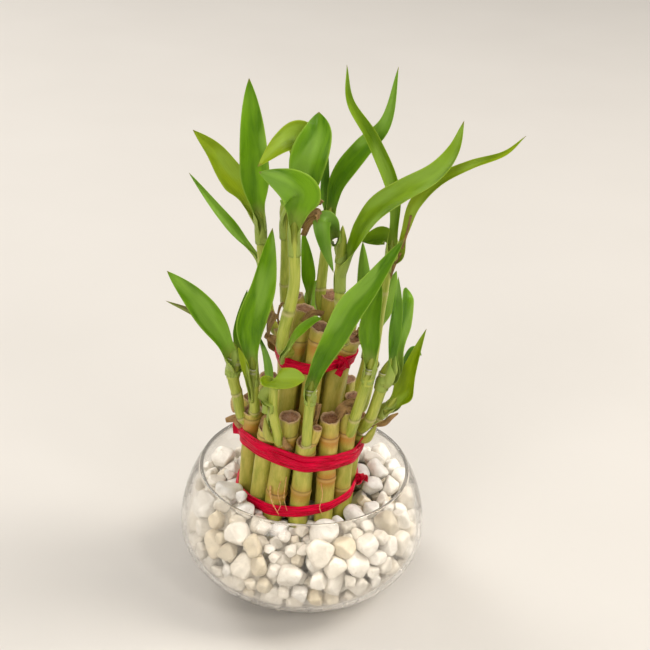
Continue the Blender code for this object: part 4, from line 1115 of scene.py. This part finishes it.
# centre line, radii along it, material (0 dry, 1 shoot, 2 root)
GROWTHS = {
    "front_growths": [
        ([(-14.5, -24.5, 92), (-17.5, -27.5, 97), (-18.7, -29, 106.5)], (1.6, 2.3, 1.7, 0.4), 1),
        ([(-6.5, -24.5, 88), (-8.8, -27.5, 92), (-9.8, -29, 97)], (1.3, 1.7, 1.2, 0.4), 0),
        ([(23.5, -9.5, 86), (28.8, -12.5, 87.5), (31, -14, 92), (33, -15, 97)], (1.6, 2.0, 1.7, 0.5), 1),
        ([(30, -5, 91), (37, -6, 93), (40.1, -7, 97), (43.3, -7, 99.5)], (1.2, 1.5, 1.2, 0.4), 0),
        ([(-27.5, -5, 84.5), (-31.5, -5, 88), (-34, -4, 90), (-38.6, -4, 88.8)], (2.4, 2.6, 2.2, 1.2), 0),
    ],
    "water_roots": [
        ([(-15.3, -25.5, 67), (-15, -29, 64), (-13.6, -31, 60.5), (-10.5, -34, 56.6)],
         (0.5, 0.42, 0.32, 0.12), 2),
        ([(-7.9, -26, 73), (-8.3, -29.5, 69), (-8.5, -31, 64), (-6.8, -33, 58.5)],
         (0.26, 0.22, 0.18, 0.1), 2),
        ([(-10.5, -27, 71), (-11.5, -30, 66), (-10, -32, 61), (-11.5, -33.5, 57.5)],
         (0.24, 0.2, 0.16, 0.1), 2),
        ([(8.5, -25.5, 70), (9.5, -28.5, 65), (8.5, -31, 60), (10, -33, 57)], (0.24, 0.2, 0.16, 0.1), 2),
    ],
}
# path, width and turning of each withered sheath
SHEATHS = {
    "crown_sheaths": [
        ([(-6.5, -12.5, 196), (-4.2, -14.5, 204.5), (-0.8, -15.5, 208.5), (2.0, -14, 207)], 4.2, (0.2, 1.3)),
        ([(-6.0, -13, 195), (-2.2, -15.5, 202), (0.8, -16.5, 204), (1.6, -16, 199.5)], 3.6, (0.5, -0.9)),
        ([(-5.0, -14.5, 192), (-2.6, -17, 199), (1.2, -16, 201.5)], 2.6, (1.0, 0.1)),
    ],
    "tier_sheaths": [
        ([(-16, -7, 132), (-19.2, -11, 137), (-19, -12, 145), (-16.3, -11, 151.5)], 5.0, (0.3, 1.4)),
        ([(-13, -8, 142), (-15.2, -10.5, 149), (-13.6, -12, 157)], 3.6, (1.2, 0.2)),
        ([(-11.7, -11, 131.5), (-15.5, -13, 138), (-20.6, -12.5, 141)], 4.4, (0.1, 1.1)),
        ([(-3.5, -9.5, 146.5), (0.3, -11.2, 152.5), (5.5, -9, 151.5)], 3.2, (0.2, 0.9)),
        ([(6, -15.5, 143), (9.6, -15, 150.5), (13, -12.5, 149)], 3.6, (1.1, 0.1)),
        ([(21.5, -5.5, 136), (24, -8, 142.5), (21, -10.5, 145)], 4.0, (0.2, 1.3)),
    ],
    "front_sheaths": [
        ([(14.5, -18, 101), (15.8, -19.8, 107.5), (20, -19.3, 111), (24, -16, 109)], 4.4, (0.2, 1.2)),
        ([(15.5, -19.8, 103), (18.3, -20.8, 108.5), (22, -20.2, 107)], 3.2, (1.1, 0.0)),
        ([(4.2, -27.2, 104), (5.0, -29.4, 111), (5.6, -31.2, 117)], 2.4, (0.4, 0.9)),
        ([(35, 1.5, 166), (36.5, -1, 174), (38.5, -3.2, 181)], 1.1, (0.4, 1.0)),
        ([(39, -3, 183), (40.6, -5.5, 192), (41.6, -7.2, 201)], 0.8, (0.8, 1.3)),
        ([(-20, -17, 92.5), (-20.5, -19.5, 98), (-18, -20.5, 102)], 3.4, (0.2, 1.2)),
    ],
}


def make_growths():
    """Buds, water roots and the withered brown sheaths that cling to the stalks."""
    for name, rows in GROWTHS.items():
        form = Form()
        for points, radii, material in rows:
            add_growth(form, points, radii, material)
        form.make(name, [DRY, SHOOT, ROOT], "cane")
    for name, rows in SHEATHS.items():
        form = Form()
        for path, width, twist in rows:
            add_loop(form, path, width, twist, 0.35)
        form.make(name, [DRY], "cane")


# ---------------------------------------------------------------- light, camera, floor

def make_stage():
    mesh = bpy.data.meshes.new("floor")
    side = 2.5
    corners = [(-side, -side, 0), (side, -side, 0), (side, side, 0), (-side, side, 0)]
    mesh.from_pydata(corners, [], [(0, 1, 2, 3)])
    mesh.materials.append(floor_material())
    floor = bpy.data.objects.new("floor", mesh)
    bpy.context.scene.collection.objects.link(floor)
    world = bpy.data.worlds.new("soft_room")
    world.use_nodes = True
    background = world.node_tree.nodes["Background"]
    background.inputs["Color"].default_value = (1.0, 0.975, 0.94, 1.0)
    background.inputs["Strength"].default_value = 0.42
    bpy.context.scene.world = world
    lamps = {
        "key": ((1.30, 0.10, 1.60), 0.8, 25.0, (1.0, 0.97, 0.93)),
        "window": ((-1.10, 0.90, 1.20), 0.8, 13.0, (1.0, 0.99, 0.98)),
        "fill": ((-0.8, -1.5, 1.0), 0.9, 12.0, (1.0, 0.98, 0.96)),
        "glint": ((0.50, -0.60, 0.80), 0.14, 1.3, (1.0, 0.98, 0.96)),
    }
    for name, (place, size, power, colour) in lamps.items():
        lamp = bpy.data.lights.new(name, "AREA")
        lamp.shape = "RECTANGLE"
        lamp.size = size
        lamp.size_y = size * 1.3
        lamp.energy = power
        lamp.color = colour
        item = bpy.data.objects.new(name, lamp)
        item.location = place
        aim = Vector((0.0, 0.0, 0.10)) - Vector(place)
        item.rotation_euler = aim.to_track_quat("-Z", "Y").to_euler()
        bpy.context.scene.collection.objects.link(item)


def make_camera():
    elevation, roll = math.radians(27.5), math.radians(3.0)
    forward = Vector((0.0, math.cos(elevation), -math.sin(elevation)))
    level = Vector((1.0, 0.0, 0.0))
    above = level.cross(forward)
    right = level * math.cos(roll) + above * math.sin(roll)
    up = -level * math.sin(roll) + above * math.cos(roll)
    data = bpy.data.cameras.new("camera")
    data.sensor_width = 36.0
    data.lens = 72.0
    data.clip_start = 0.01
    camera = bpy.data.objects.new("camera", data)
    turn = Matrix((right, up, -forward)).transposed().to_4x4()
    camera.matrix_world = Matrix.Translation((0.0065, -0.5356, 0.4198)) @ turn
    bpy.context.scene.collection.objects.link(camera)
    bpy.context.scene.camera = camera


# ---------------------------------------------------------------- the whole

make_camera()
make_stage()
bpy.context.scene.view_settings.view_transform = "Standard"
make_bowl()
for cane_number, (cane_name, cane_row) in enumerate(CANES.items()):
    cane_rng = np.random.default_rng(100 + cane_number)
    cane_form = Form()
    add_cane(cane_form, cane_row, cane_rng)
    for shoot_index, shoot_row in enumerate(SHOOTS):
        if shoot_row[0] == cane_name:
            add_shoot(cane_form, shoot_index, shoot_row, cane_rng)
            if shoot_row[5]:
                add_open_sheath(cane_form, shoot_row, cane_rng)
    cane_form.make(f"{cane_name}_stalk", [CANE, SHOOT], "cane", [cane_name])
for leaf_number, leaf_name in enumerate(LEAVES):
    make_leaf(leaf_name, leaf_number)
make_growths()
make_pebbles()
make_ribbon("base_ribbon", OUTER_CANES, 56.5, (3.5, 1.0),
            [(0.0, 5.6, 0.1, (0.4, 2, 0.5)), (0.6, 4.4, 0.5, (0.6, 3, 2.0))],
            (-12, 3.6, 0.6), [([(0.5, 0, 0), (2.5, -1.5, 3.5), (2.0, -3.5, 6.0)], 3.4, (0.2, 1.0)),
                              ([(0.5, 0, 0), (3.0, 2.0, 1.5), (3.5, 3.0, -2.0)], 3.4, (0.4, 1.4))], [])
make_ribbon("lower_ribbon", OUTER_CANES, 81.0, (-2.5, -2.5),
            [(-1.4, 5.0, 0.1, (0.7, 1, 0.5)), (1.4, 4.8, 0.3, (0.8, 1, 2.6)), (0.2, 3.6, 0.8, (1.0, 2, 1.2))],
            (165, 3.4, 0.0), [([(0.5, 0, 0), (2.5, 1.5, -3.0), (2.0, 3.5, -7.0)], 4.0, (0.3, 1.2))],
            [([(18, -20.6, 80.5), (23.5, -16.5, 84.0), (27, -12.5, 88.5)], 2.6, (0.1, 0.9)),
             ([(20, -19.4, 81.5), (24.8, -15.0, 83.0), (28, -10.5, 84.5)], 2.4, (0.1, 0.6))])
make_ribbon("upper_ribbon", INNER_CANES, 128.0, (2.0, 0.5),
            [(-0.6, 4.4, 0.1, (0.8, 1, 0.5)), (0.9, 3.8, 0.4, (0.8, 2, 2.0))],
            (-50, 4.2, 0.0), [([(0.5, 0, 0), (2.5, 2.5, 1.5), (2.5, 6.5, 3.5)], 4.2, (0.2, 0.9)),
                              ([(0.5, 0, 0), (2.0, -2.0, -2.0), (2.0, -3.5, -4.0)], 3.2, (0.4, 1.4))], [])
